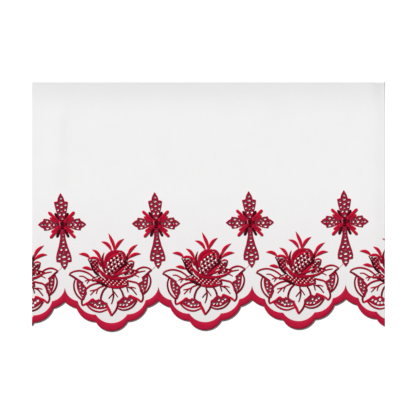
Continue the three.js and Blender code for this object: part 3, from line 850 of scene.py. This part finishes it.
# %% Lines of the petals
PETAL_LINES = [
    # the left side leaf and its veins
    ("red", [1.0, 1.2, 1.1],
     [(-73, 99.5), (-66, 103), (-56, 104.6), (-46, 102.5), (-38, 98.4), (-29, 91)]),
    ("wine", [1.0, 1.4, 1.4, 1.2], [(-74.2, 98.2), (-68, 95), (-62, 91), (-56, 87), (-50, 83)]),
    ("red", [1.0, 1.0, 0.7], [(-32, 88), (-40, 89), (-45, 92), (-50, 94.8), (-56.5, 95)]),
    ("red", [0.9, 0.6], [(-39, 88.5), (-43, 87.6), (-46.8, 86)]),
    ("red", [0.9, 0.6], [(-38.5, 88), (-41, 85), (-43, 81.8)]),
    # the right side leaf
    ("red", [1.1, 1.2, 1.0], [(41, 102.8), (48, 107.4), (56, 109.4), (63, 108), (69, 104.4)]),
    ("wine", [1.0, 1.5, 1.2], [(69.6, 104.2), (65, 101), (61.5, 97.4), (57, 93.6), (52.5, 90.6)]),
    ("red", [0.9, 1.0, 0.7], [(37, 99), (43, 100), (50, 101.6), (58.5, 103)]),
    ("red", [0.8, 0.6], [(40.5, 95.6), (44, 94.4), (47.8, 92.2)]),
    # the left petal
    ("red", [1.2, 1.2, 1.2],
     [(-14, 82), (-22, 82.4), (-30, 81.2), (-38, 77.8), (-44, 72.6), (-45.8, 68)]),
    ("wine", [1.3, 1.2, 1.3],
     [(-45.6, 69), (-44.6, 65), (-48, 59.5), (-51, 54), (-52, 49), (-50.4, 44)]),
    ("bright", [1.0, 1.6, 1.7, 1.2],
     [(-50.4, 43.8), (-45, 46.8), (-39, 49.8), (-33, 54.6), (-30.4, 51.8), (-26, 51.4),
      (-21.4, 54.6)]),
    ("red", [1.0, 1.0, 0.7], [(-14, 77.4), (-20, 75.4), (-25.4, 72), (-31, 70.4), (-38, 69.2)]),
    ("red", [0.9, 0.7], [(-29, 70.6), (-33, 66), (-37, 61.8)]),
    ("red", [0.9, 0.7], [(-23.6, 73), (-25.6, 68.4), (-26.8, 64)]),
    # the right petal
    ("red", [1.2, 1.2, 1.2], [(28, 86.2), (36, 84.4), (44, 82), (48.4, 76), (50.4, 70)]),
    ("wine", [1.2, 1.2, 1.2], [(50, 71), (53, 64.4), (54.6, 57.6), (53.6, 52.6), (50.8, 48.8)]),
    ("bright", [1.2, 1.7, 1.5, 1.2],
     [(51, 49), (46, 53.4), (39, 56.6), (31.2, 60), (30, 56.4), (26, 55.4), (20.6, 59)]),
    ("wine", [1.0, 1.0, 0.8], [(28, 75.6), (35, 72), (39.6, 66.6), (43.4, 61.8)]),
    ("red", [0.9, 0.7], [(32, 75.2), (37, 74.6), (42.2, 72.8)]),
    ("wine", [1.0, 0.8], [(26, 76), (27.4, 71), (28.6, 66.2)]),
    # the middle petal lies over both
    ("wine", [1.2, 1.3, 1.3],
     [(-8.6, 75.6), (-14, 70), (-17.6, 62), (-18.8, 54), (-16, 49), (-10, 47.6)]),
    ("bright", [1.4, 1.9, 1.9, 1.2], [(-9.6, 48.4), (-7.6, 41.6), (-3.6, 34), (-0.4, 25.6)]),
    ("wine", [1.2, 1.3, 1.3],
     [(13.2, 74.6), (18, 67), (20.4, 59), (19.6, 52.4), (16, 49.8), (10.2, 49.6)]),
    ("wine", [1.1, 1.3, 1.2], [(10.6, 50), (10.2, 43), (6.8, 34.6), (-0.2, 25.8)]),
    ("wine", [1.0, 1.1, 0.7], [(1.2, 75), (2.2, 68), (3.2, 61), (2, 53), (-0.4, 46)]),
    ("wine", [0.9, 0.7], [(2.4, 64), (-1.4, 60), (-5.2, 55.4)]),
    ("wine", [0.9, 0.7], [(2.4, 69), (6.4, 64), (10.4, 58)]),
]
ARC_LINES = [
    ("wine", [0.9, 1.2, 1.2], [(-62.6, 91), (-65.4, 82), (-64.6, 71.6), (-60, 62), (-51.4, 53.4)]),
    ("red", [1.2, 1.2, 1.0], [(-43.4, 46), (-37.4, 39.2), (-29, 34.4), (-19, 32.8), (-8, 36.6)]),
    ("wine", [1.0, 1.2, 1.2], [(10, 38.8), (19, 35.6), (29, 37), (37.4, 42.4), (43.8, 51.6)]),
    ("wine", [1.2, 1.2, 1.0], [(53.6, 61.6), (61.4, 68.6), (66.4, 78), (67.6, 88), (63.8, 98)]),
]
print("petal lines:", len(PETAL_LINES) + len(ARC_LINES))

# %% [markdown]
# ## The fruit, its collar and the leaves round it
# The middle of the flower is the busiest place: a fruit with a thick red rind and a field of dark
# seeds with pale gaps, pointed sepals that hold it, and a dotted collar below. Dark threads lie
# on the shaded side of each form, which is what makes flat embroidery look round.

# %% Lines of the fruit and its leaves
FRUIT_LINES = [
    # the collar
    ("dark", [1.2, 2.3, 2.6, 1.8], [(-27, 86), (-20, 83), (-13, 79.4), (-7, 77)]),
    ("red", [1.6, 2.5, 2.6, 1.8], [(-8, 76.8), (0, 75.6), (9, 75), (19, 76.4), (27.4, 78.8)]),
    ("wine", [1.4, 2.1, 1.7], [(25.4, 88.8), (27.2, 84), (28.4, 77.6)]),
    ("red", [0.9, 1.3, 1.3], [(-34.4, 86.2), (-27, 86.6), (-19, 85.6)]),
    ("wine", [0.8, 1.0, 0.8], [(-34.4, 86.4), (-33, 90.6), (-27, 93.4), (-20, 96)]),
    ("wine", [1.2, 2.2, 2.4, 1.4], [(-11, 91.4), (-3, 88.6), (6, 87.4), (16, 88)]),
    # the sepal and the spear on the left
    ("dark", [0.8, 2.0, 2.3, 1.6],
     [(-40.8, 124), (-36.6, 117), (-31.4, 105.6), (-26.6, 99.2), (-20, 94)]),
    ("bright", [0.5, 2.3, 2.5, 0.8], [(-41.6, 124.2), (-34, 126.6), (-27, 126), (-18.8, 121.6)]),
    ("red", [1.2, 2.0, 1.2], [(-22.2, 123), (-21, 117), (-19, 111)]),
    ("red", [1.0, 2.2, 3.5, 3.4, 2.0],
     [(-24.8, 112), (-21.6, 106), (-16.8, 100), (-11.6, 95), (-3, 91.6)]),
    ("red", [0.8, 1.2, 1.0], [(-30, 121), (-27.6, 111), (-23, 101.6)]),
    ("wine", [0.5, 2.1, 3.1, 3.0, 1.6],
     [(-13, 135.6), (-15.6, 128), (-16.4, 119), (-14, 109), (-8.6, 97)]),
    ("dark", [0.3, 1.2, 1.8, 1.3, 0.4],
     [(-13.6, 134), (-16.6, 127), (-17.8, 118.6), (-15.4, 109), (-11.6, 101)]),
    # the spear and the two sepals on the right
    ("dark", [0.4, 1.9, 2.9, 2.6, 1.7, 1.5, 0.9],
     [(27.6, 134), (26.4, 126.6), (24.9, 119.6), (21.8, 113.4), (15.4, 108.2), (10.6, 102.6),
      (3.3, 96.6)]),
    ("bright", [0.8, 2.0, 2.2, 0.9], [(4, 95.4), (13.4, 101.4), (21.6, 108.6), (27.6, 117)]),
    ("red", [1.4, 2.0, 1.9, 1.3], [(3, 95.2), (13, 97.6), (24, 101.4), (33, 106.4)]),
    ("wine", [1.4, 1.9, 1.2], [(33, 106), (36.4, 111.4), (38.6, 118.6)]),
    ("bright", [0.9, 1.7, 1.2], [(27.6, 118.2), (33.6, 120.6), (39, 118.6)]),
    ("red", [1.8, 2.5, 2.6, 2.2, 0.7], [(-5, 91.4), (8, 90.8), (22, 91.2), (35, 94.8), (47.6, 101.8)]),
    ("wine", [0.8, 1.2, 0.7], [(33, 105.6), (40, 104.4), (47.4, 102)]),
    # thread that closes the foot of the fruit
    ("wine", [1.2, 2.6, 2.6, 1.2], [(-9, 97), (-2, 94.2), (6, 94), (14, 97)]),
    # the rind of the fruit
    ("bright", [0.9, 2.6, 3.2, 2.4, 1.0], [(-7, 118), (-4.6, 124), (0.6, 129), (9, 132), (18, 131.6)]),
    ("red", [1.6, 2.8, 3.7, 3.9, 2.6],
     [(-10.2, 104), (-10.8, 117), (-7.8, 128), (0.2, 135), (12, 137.4)]),
    ("bright", [0.5, 1.6, 2.1, 2.0, 0.8],
     [(-11, 113), (-10, 122), (-6.6, 130), (-0.4, 135.2), (8, 138)]),
    ("red", [1.2, 2.2, 2.2, 1.4], [(10, 138), (17.4, 136.6), (22.4, 131.4), (23.4, 124)]),
    ("wine", [0.3, 0.8, 0.9, 0.5], [(-6, 124), (-1.6, 129.4), (5, 132), (13, 133)]),
    ("claret", [0.6, 1.6, 1.6, 0.8], [(5, 132.6), (12, 133.6), (18, 131.6), (21.4, 126)]),
    ("bright", [0.5, 1.4, 1.6, 1.4, 0.8],
     [(-4, 124), (1.4, 127.6), (8, 129.4), (15.4, 128.6), (20, 123), (20.8, 117)]),
    # A pale rose line inside the rind is a painted highlight.
    ("rose", [0.2, 0.6, 0.6, 0.3], [(-2.4, 129.4), (4.6, 133), (12.6, 134.4), (19.4, 130)]),
]
SLENDER_LEAVES = [
    [(4, 134.4), (4.4, 140), (2.8, 150), (-1.4, 160), (-5.4, 168.8)],
    [(2.8, 134.8), (-0.8, 140), (-4.6, 147), (-10.4, 152), (-18, 154.4)],
    [(4.8, 135), (6.8, 140.6), (9.8, 148), (14.8, 154.4), (21.6, 158.8)],
    [(-17.8, 119.4), (-19.4, 124), (-22.4, 131), (-26.8, 136.8), (-33.6, 140.8)],
    [(-34, 123.4), (-38, 126.6), (-42.6, 130.8), (-48.6, 133.2), (-57, 133.4)],
    [(-30.4, 104.6), (-34, 105.6), (-39, 108), (-44.6, 109.6), (-51.4, 109.4)],
    [(26.6, 123.6), (28.8, 129.6), (32, 138), (38, 144.4), (45, 148.8)],
    [(26.4, 121.4), (29.8, 125.4), (35.6, 130), (42.6, 132.6), (51, 132.4)],
]
LEAF_HALVES = [0.8, 1.3, 2.8, 3.1, 2.3, 0.3]
JUMP_THREAD = ("rose", [0.35, 0.3, 0.35], [(69.4, 104.6), (72.6, 107.2), (76.4, 111.6)])
print("fruit lines:", len(FRUIT_LINES) + len(SLENDER_LEAVES) + 1)

# %% [markdown]
# ## Panels, seeds and dots
# Each panel fills the gap between two petals, and its holes are listed because they follow no
# even spacing. The seeds lie on a slanting lattice. The dots of the collar and the sepals lie on
# a finer one. A point stays only if it falls inside the outline that holds it.

# %% Panels and fillings of the flower
PANELS = [
    [
        (-59, 90.4), (-60.4, 84), (-59.6, 75), (-56.6, 67), (-52, 59.4), (-48, 53.6), (-43.4, 65),
        (-45.6, 70), (-44, 76), (-50, 82.6),
    ],
    [
        (-43.6, 48.4), (-37, 43.6), (-29, 39.6), (-19, 38), (-8, 40.6), (-9, 47.4), (-18, 54.6),
        (-26, 53), (-33, 55),
    ],
    [(10.4, 50.4), (10, 43), (19, 39.6), (28, 41.4), (36, 46), (42.4, 53), (31, 60), (27, 57), (20, 59)],
    [
        (53.4, 63), (58.4, 70), (61.8, 79), (62.8, 88), (62.2, 96.4), (52.4, 90.4), (53.4, 86),
        (46.6, 82), (49.8, 73),
    ],
]
PANEL_HOLES = [
    [
        (-56, 82, 2.2), (-55.3, 76.6, 2.2), (-49.2, 74, 2.2), (-55, 71, 2.1), (-50.2, 68, 2.1),
        (-51, 62.6, 2.0),
    ],
    [
        (-35, 48.9, 2.2), (-29.4, 46.2, 2.5), (-21.6, 49, 2.4), (-24.6, 43, 2.5),
        (-18.6, 43.2, 2.3), (-13, 43.6, 2.3),
    ],
    [
        (14.6, 45.4, 2.3), (20, 45.2, 2.3), (23, 51.6, 2.5), (26, 45.4, 2.4), (29.6, 50, 2.5),
        (34.2, 53.2, 2.4),
    ],
    [
        (58.6, 90, 2.2), (57.4, 84, 2.2), (51.6, 78.6, 2.0), (57.2, 77.8, 2.1), (53, 73.6, 2.1),
        (51.8, 68.4, 2.0),
    ],
]
SEED_LATTICE = ((4.6, 114.6), (1.3, -7.2), (5.4, 4.2))
SEED_GAPS = (("white", -4.0, -0.4, 1.9), ("rose", 4.0, 0.4, 1.4))
SEED = (3.2, 3.0, 35)  # half its width, half its length, its turn
SEED_CORE = (1.8, 1.7, 35)
DOT_LATTICE = ((0, 80), (3.4, -0.5), (-0.5, 3.4))
DOT = (1.3, 1.2, 0)
FRUIT_FIELD = [
    (-7, 96), (-8.6, 108), (-6, 119), (0, 127), (8, 131), (16, 130), (23, 124), (22.6, 116),
    (14.4, 108.6), (9.4, 102.8), (2.4, 97.4),
]
COLLAR_FIELD = [
    (-32, 88), (-20, 86.4), (-8, 79), (6, 77.4), (18, 78.8), (26, 82), (25.6, 88.6), (12, 86.4),
    (0, 86.4), (-12, 90), (-20, 94.4),
]
LEFT_SEPAL = [(-38, 122.6), (-30, 105.4), (-22, 97), (-21, 106), (-23.4, 118), (-22, 122.6)]
RIGHT_SEPALS = [
    [(27.6, 116.4), (18, 104.6), (26, 104.4), (33, 108.6), (36, 117)],
    [(18, 95.6), (34, 97.6), (44.6, 101.8), (35.4, 104.4), (24, 99.6)],
]
DOTTED_FIELDS = [COLLAR_FIELD, LEFT_SEPAL] + RIGHT_SEPALS


def within(points, ring):
    """Which of the points fall inside a ring, all at once."""
    x, y = points[:, 0], points[:, 1]
    found = np.zeros(len(points), bool)
    for (ax, ay), (bx, by) in zip(ring, ring[1:] + ring[:1]):
        crosses = (ay > y) != (by > y)
        found ^= crosses & (x < ax + (y - ay) / ((by - ay) or 1e-9) * (bx - ax))
    return found


def lattice(ring, origin, first, second, reach=16):
    """Points of a slanting lattice that fall inside a ring, with their two numbers in it."""
    steps = range(-reach, reach + 1)
    numbers = np.array([(i, j) for i in steps for j in steps])
    points = origin + numbers[:, :1] * first + numbers[:, 1:] * second
    held = within(points, ring)
    return [(*place, *pair) for place, pair in zip(points[held].tolist(), numbers[held].tolist())]


def filling():
    """Rows of knots: seeds with pale gaps between them, then dots, pale and dark by turns."""
    rows = []
    for x, y, _, _ in lattice(FRUIT_FIELD, *SEED_LATTICE):
        rows.append(("wine", x, y, *SEED))
        for tone, across, along, wide in SEED_GAPS:
            rows.append((tone, x + across, y + along, wide, wide + 0.3, 0))
    for ring, pale in zip(DOTTED_FIELDS, ("white", "rose", "white", "white")):
        for x, y, i, j in lattice(ring, *DOT_LATTICE):
            rows.append((pale if (i + j) % 2 else "dark", x, y, *DOT))
    return rows


def seed_cores():
    return [("dark", x, y, *SEED_CORE) for x, y, _, _ in lattice(FRUIT_FIELD, *SEED_LATTICE)]


def net(ring, origin, first, second, tone, half):
    """Straight stitches along the rows of a lattice that fall inside a ring."""
    places = {(i, j): (x, y) for x, y, i, j in lattice(ring, origin, first, second)}
    pairs = [((i, j), (i + 1, j)) for i, j in places]
    return [(tone, half, [places[a], places[b]], "straight") for a, b in pairs if b in places]


def fuller(lines, share=1.4):
    return [(tone, [half * share for half in halves], path) for tone, halves, path in lines]


def flower_mesh():
    cords, meshes = net(FRUIT_FIELD, *SEED_LATTICE, "red", 1.1), []
    for number, (ring, holes) in enumerate(zip(PANELS, PANEL_HOLES)):
        openings = [disc(*hole) for hole in holes]
        meshes.append(plate(f"panel_{number}", "claret", [ring], openings, LINEN, PLATE_TOP))
        for x, y, radius in holes:
            cords.append(("red", 0.55, closed(disc(x, y, radius + 0.45)), "straight"))
        rim = [(x * 0.985 + 0.015 * ring[0][0], y) for x, y in ring]
        cords.append(("bright", 0.8, rim[:6]))
    for number, ring in enumerate(DOTTED_FIELDS):
        tone = "wine" if number else "red"
        meshes.append(plate(f"ground_{number}", tone, [ring], [], LINEN, 1.7, rim=0.2))
    meshes.append(plate("fruit_ground", "claret", [FRUIT_FIELD], [], LINEN, 1.5, rim=0.12))
    leaves = [("bright", LEAF_HALVES, path) for path in SLENDER_LEAVES]
    meshes.append(satin("flower_cords", cords, low=1.3))
    meshes.append(satin("flower_lines", fuller(PETAL_LINES + ARC_LINES) + [JUMP_THREAD], low=1.25))
    meshes.append(satin("fruit_lines", FRUIT_LINES + leaves, low=1.3))
    meshes.append(knots("fillings", filling(), low=1.45, rise=0.9))
    meshes.append(knots("seed_cores", seed_cores(), low=2.0, rise=0.6))
    return sewn_together("flower", meshes)


FLOWER = flower_mesh()
print("one flower:", len(FLOWER.polygons), "faces")

# %% [markdown]
# ## Putting the motifs in their places
# The pattern climbs slightly to the right, and each cross leans by its own small amount. The
# finished pieces must stay at the origin with their place in their mesh, so the slope and the
# lean move the points and not the object.

# %% Place the crosses and the flowers
CROSS_UP = 185
CROSSES = [  # the flower on its left, how far it stands from half way, its lean
    (-2, -4.8, 0.053),
    (-1, -4.2, 0.046),
    (0, -3.8, 0.040),
    (1, -1.9, 0.024),
]


def cross_place(flower, shift):
    x0 = flower_x(flower) + REPEAT / 2 + shift
    return x0, baseline(x0) + CROSS_UP


def placed(mesh, name, x0, y0, lean=0.0):
    """A copy of a motif, moved to its place along the sloping repeat."""
    mesh = mesh.copy()
    points = places_of(mesh)
    x, y = points[:, 0].copy(), points[:, 1].copy()
    points[:, 0] = x0 * MM + x - lean * y
    points[:, 1] = y0 * MM + y + CLIMB * x
    mesh.vertices.foreach_set("co", points.ravel())
    mesh.name = name
    return linked(name, press(trimmed(mesh)))


sewn = []
for number, (flower, shift, lean) in enumerate(CROSSES, 1):
    piece = placed(CROSS, f"cross_{number}_embroidery", *cross_place(flower, shift), lean)
    sewn.append((piece, f"cross_{number}", "cross_thread"))
for number, flower in enumerate(FLOWERS, 1):
    x0 = flower_x(flower)
    piece = placed(FLOWER, f"flower_{number}_embroidery", x0, baseline(x0))
    sewn.append((piece, f"flower_{number}", "flower_thread"))
print("motifs placed:", len(sewn))

# %% [markdown]
# ## The linen sheet
# The sheet is one cut piece of cloth: scalloped below, with small windows under the cutwork, and
# turned under along its far edge. It is drawn flat first, as a maker would cut it. A Delaunay
# triangulation takes the outline, the windows and an even grid, and then every point is carried
# onto the fold. A simulation would hardly move a cloth that lies this flat, so the slope of the
# fold and two faint standing creases are given as plain rules.

# %% The fold as a path
FOLD_REACH = 64
FOLD_JOIN = 6
FOLD_LIFT = 2.8
FOLD_ROUND = 1.6
FOLD_POWER = 2.4
HEM_DEPTH = 15


def fold_path(steps=40, loop_steps=18):
    """The middle of the sheet through the fold: how far back from the far edge, and how high."""
    path = [(FOLD_REACH + FOLD_JOIN, 0.0)]
    for i in range(steps + 1):
        share = i / steps
        path.append((FOLD_REACH - (FOLD_REACH - FOLD_ROUND) * share, FOLD_LIFT * share**FOLD_POWER))
    for i in range(1, loop_steps + 1):
        angle = math.pi / 2 - math.pi * i / loop_steps
        reach = FOLD_ROUND - LINEN / 2
        path.append((FOLD_ROUND - reach * math.cos(angle), FOLD_LIFT / 2 * (1 + math.sin(angle))))
    path.append((HEM_DEPTH, 0.0))
    return np.array(path)


FOLD = fold_path()
FOLD_START = FAR_EDGE - FOLD_REACH - FOLD_JOIN
fold_run = np.concatenate([[0], np.cumsum(np.hypot(*np.diff(FOLD, axis=0).T))])
CUT_END = FOLD_START + fold_run[-1]
print("cut length of the linen:", round(CUT_END + FAR_EDGE, 1), "mm")

# %% Windows and outline of the cut cloth
WINDOW_MARGIN = 2.1
WINDOW_TIP = 2.9
WINDOW_ROOT = (8, 2.4)
ROOT_END = 13
PANEL_MARGIN = 1.6
LINEN_SHARE = 0.46


def windows():
    """The holes cut in the linen, under the arms of the crosses and under the panels."""
    rings = []
    for flower, shift, lean in CROSSES:
        x0, y0 = cross_place(flower, shift)
        for arm, angle in ARM_TURNS:
            wide = [(a, h) for a, h in ARMS[arm] if a > ROOT_END and h > WINDOW_MARGIN]
            rows = [WINDOW_ROOT] + [(a - WINDOW_MARGIN, h - WINDOW_MARGIN) for a, h in wide]
            rows.append((ARMS[arm][-1][0] - WINDOW_TIP, 0.1))
            ring = turned(rows + [(a, -h) for a, h in rows[::-1]], angle)
            rings.append([(x0 + x - lean * y, y0 + y + CLIMB * x) for x, y in ring])
    for flower in FLOWERS:
        x0 = flower_x(flower)
        for panel in PANELS:
            middle = np.mean(panel, axis=0)
            spokes = [np.array(point) - middle for point in panel]
            ring = [middle + spoke * (1 - PANEL_MARGIN / np.hypot(*spoke)) for spoke in spokes]
            rings.append([(x0 + x, baseline(x0 + x) + y) for x, y in ring])
    return [ring for ring in rings if max(abs(x) for x, _ in ring) < HALF_WIDTH - 1]


def linen_outline():
    line = edge_line(LINEN_SHARE)
    ys = np.interp([-HALF_WIDTH, HALF_WIDTH], line[:, 0], line[:, 1])
    kept = [tuple(p) for p in line if abs(p[0]) < HALF_WIDTH - 0.5]
    far_corners = [(HALF_WIDTH, CUT_END), (-HALF_WIDTH, CUT_END)]
    return [(-HALF_WIDTH, ys[0])] + kept + [(HALF_WIDTH, ys[1])] + far_corners


OUTLINE = linen_outline()
WINDOWS = windows()
print("windows in the linen:", len(WINDOWS))

# %% Triangulate the cut cloth
GRID = 7.0
GRID_FROM = -200
FOLD_GRID = 2.2
MERGE = 0.01


def cut_cloth():
    """Points and triangles of the cloth, flat, as it was cut."""
    xs = np.linspace(-HALF_WIDTH, HALF_WIDTH, round(2 * HALF_WIDTH / GRID) + 1)
    lower, upper = np.arange(GRID_FROM, FOLD_START, GRID), np.arange(FOLD_START, CUT_END, FOLD_GRID)
    grid = np.array([(x, y) for y in [*lower, *upper, CUT_END] for x in xs])
    grid = grid[within(grid + (0, MERGE), OUTLINE) | (grid[:, 1] >= FOLD_START)]
    rings = [OUTLINE] + WINDOWS
    points = [Vector(p) for ring in rings for p in ring] + [Vector(p) for p in grid]
    edges, first = [], 0
    for ring in rings:
        edges += [(first + i, first + (i + 1) % len(ring)) for i in range(len(ring))]
        first += len(ring)
    verts, _, faces, *_ = delaunay_2d_cdt(points, edges, [], 0, MERGE)
    verts = np.array([v[:] for v in verts])
    faces = np.array(faces)
    middles = verts[faces].mean(axis=1)
    keep = within(middles, OUTLINE)
    for ring in WINDOWS:
        keep &= ~within(middles, ring)
    return verts, faces[keep]


# %% [markdown]
# ## Carrying the cut cloth onto its fold
# A point's height up the cut piece is a distance along the fold's path, so the cloth never
# stretches. Two faint creases stand in the cloth. Each rises slowly and falls quickly, so only
# its right side turns from the light. Slow waves, lower still, keep the rest from looking ironed.

# %% Creases, fold and thickness
CREASES = [(-257, 40, 14, 0.55), (-85, 46, 16, 0.22)]  # x, reach before it, reach after it, height
WAVE_HEIGHT = 0.07
SLOPE_STEP = 0.8
SHARP_EDGE = 50


def rise(x, y):
    """How far the cloth stands up from the table at a place, in mm."""
    below_fold = smooth_step((190 - y) / 40)
    high_up = smooth_step((y - 20) / 60) * below_fold
    total = np.zeros(len(x))
    for place, before, after, height in CREASES:
        climb = smooth_step((x - place + before) / before)
        fall = smooth_step((place + after - x) / after)
        total += height * climb * fall * high_up
    slow = np.sin(x / 47 + y / 90) * np.sin(y / 38 - x / 120) + 1
    return total + WAVE_HEIGHT * slow * smooth_step((y + 10) / 60) * below_fold


def on_fold(run):
    """How far back from the far edge and how high the fold's path lies, this far along it."""
    run = np.clip(run, 0, fold_run[-1])
    return np.interp(run, fold_run, FOLD[:, 0]), np.interp(run, fold_run, FOLD[:, 1])


def linen_mesh():
    """The folded sheet with its thickness, and the area that was cut, in square metres."""
    flat, faces = cut_cloth()
    x, s = flat[:, 0], flat[:, 1]
    run = np.clip(s - FOLD_START, 0, None)
    back, up = on_fold(run)
    y = np.where(s < FOLD_START, s, FAR_EDGE - back)
    back_ahead, up_ahead = on_fold(run + SLOPE_STEP)
    back_behind, up_behind = on_fold(run - SLOPE_STEP)
    dy, dz = back_behind - back_ahead, up_ahead - up_behind
    length = np.hypot(dy, dz)
    length[length == 0] = 1
    sloped = run > 0
    ny, nz = np.where(sloped, -dz / length, 0), np.where(sloped, dy / length, 1)
    lift = np.where(s < FOLD_START + 40, rise(x, s), 0)
    sides = []
    for offset in (LINEN / 2, -LINEN / 2):
        height = np.maximum(0, LINEN / 2 + up + offset * nz + lift)
        sides.append(np.column_stack([x, y + offset * ny, height * pressed(x)]))
    count = len(flat)
    edges = np.vstack([faces[:, [0, 1]], faces[:, [1, 2]], faces[:, [2, 0]]])
    _, index, times = np.unique(np.sort(edges, axis=1), axis=0, return_index=True, return_counts=True)
    walls = [(b, a, a + count, b + count) for a, b in edges[index[times == 1]]]
    below = (faces[:, ::-1] + count).tolist()
    mesh = bpy.data.meshes.new("linen_sheet")
    mesh.from_pydata(np.vstack(sides) * MM, [], faces.tolist() + below + walls)
    laid = mesh.uv_layers.new(name="cut_cloth")
    corner = np.empty(len(mesh.loops), int)
    mesh.loops.foreach_get("vertex_index", corner)
    laid.data.foreach_set("uv", (flat[corner % count] * MM).ravel())
    mesh.shade_smooth()
    mesh.set_sharp_from_angle(angle=math.radians(SHARP_EDGE))
    mesh.materials.append(LINEN_CLOTH)
    corners = flat[faces]
    a, b = corners[:, 1] - corners[:, 0], corners[:, 2] - corners[:, 0]
    area = np.abs(a[:, 0] * b[:, 1] - a[:, 1] * b[:, 0]).sum() / 2 * MM * MM
    return outward(mesh), area


sheet_mesh, cut_area = linen_mesh()
sheet = linked("linen_sheet", sheet_mesh)
print("linen:", len(sheet_mesh.polygons), "faces,", round(cut_area, 4), "square metres")

# %% [markdown]
# ## Riding on the body
# Every piece rides on the one body and stands for the imported node in its place.

# %% Ride and replace
others = [(band, "scalloped_band", "band_thread"), (sheet, "linen_ground", "linen")]
for piece, node, slot in sewn + others:
    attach(piece, "root")
    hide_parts(node)
cut_length = (CUT_END - min(y for _, y in OUTLINE)) * MM
thread_pieces = [band] + [piece for piece, _, _ in sewn]
for piece in [sheet] + thread_pieces:
    piece.data.calc_loop_triangles()
    print(piece.name, len(piece.data.loop_triangles), "triangles")
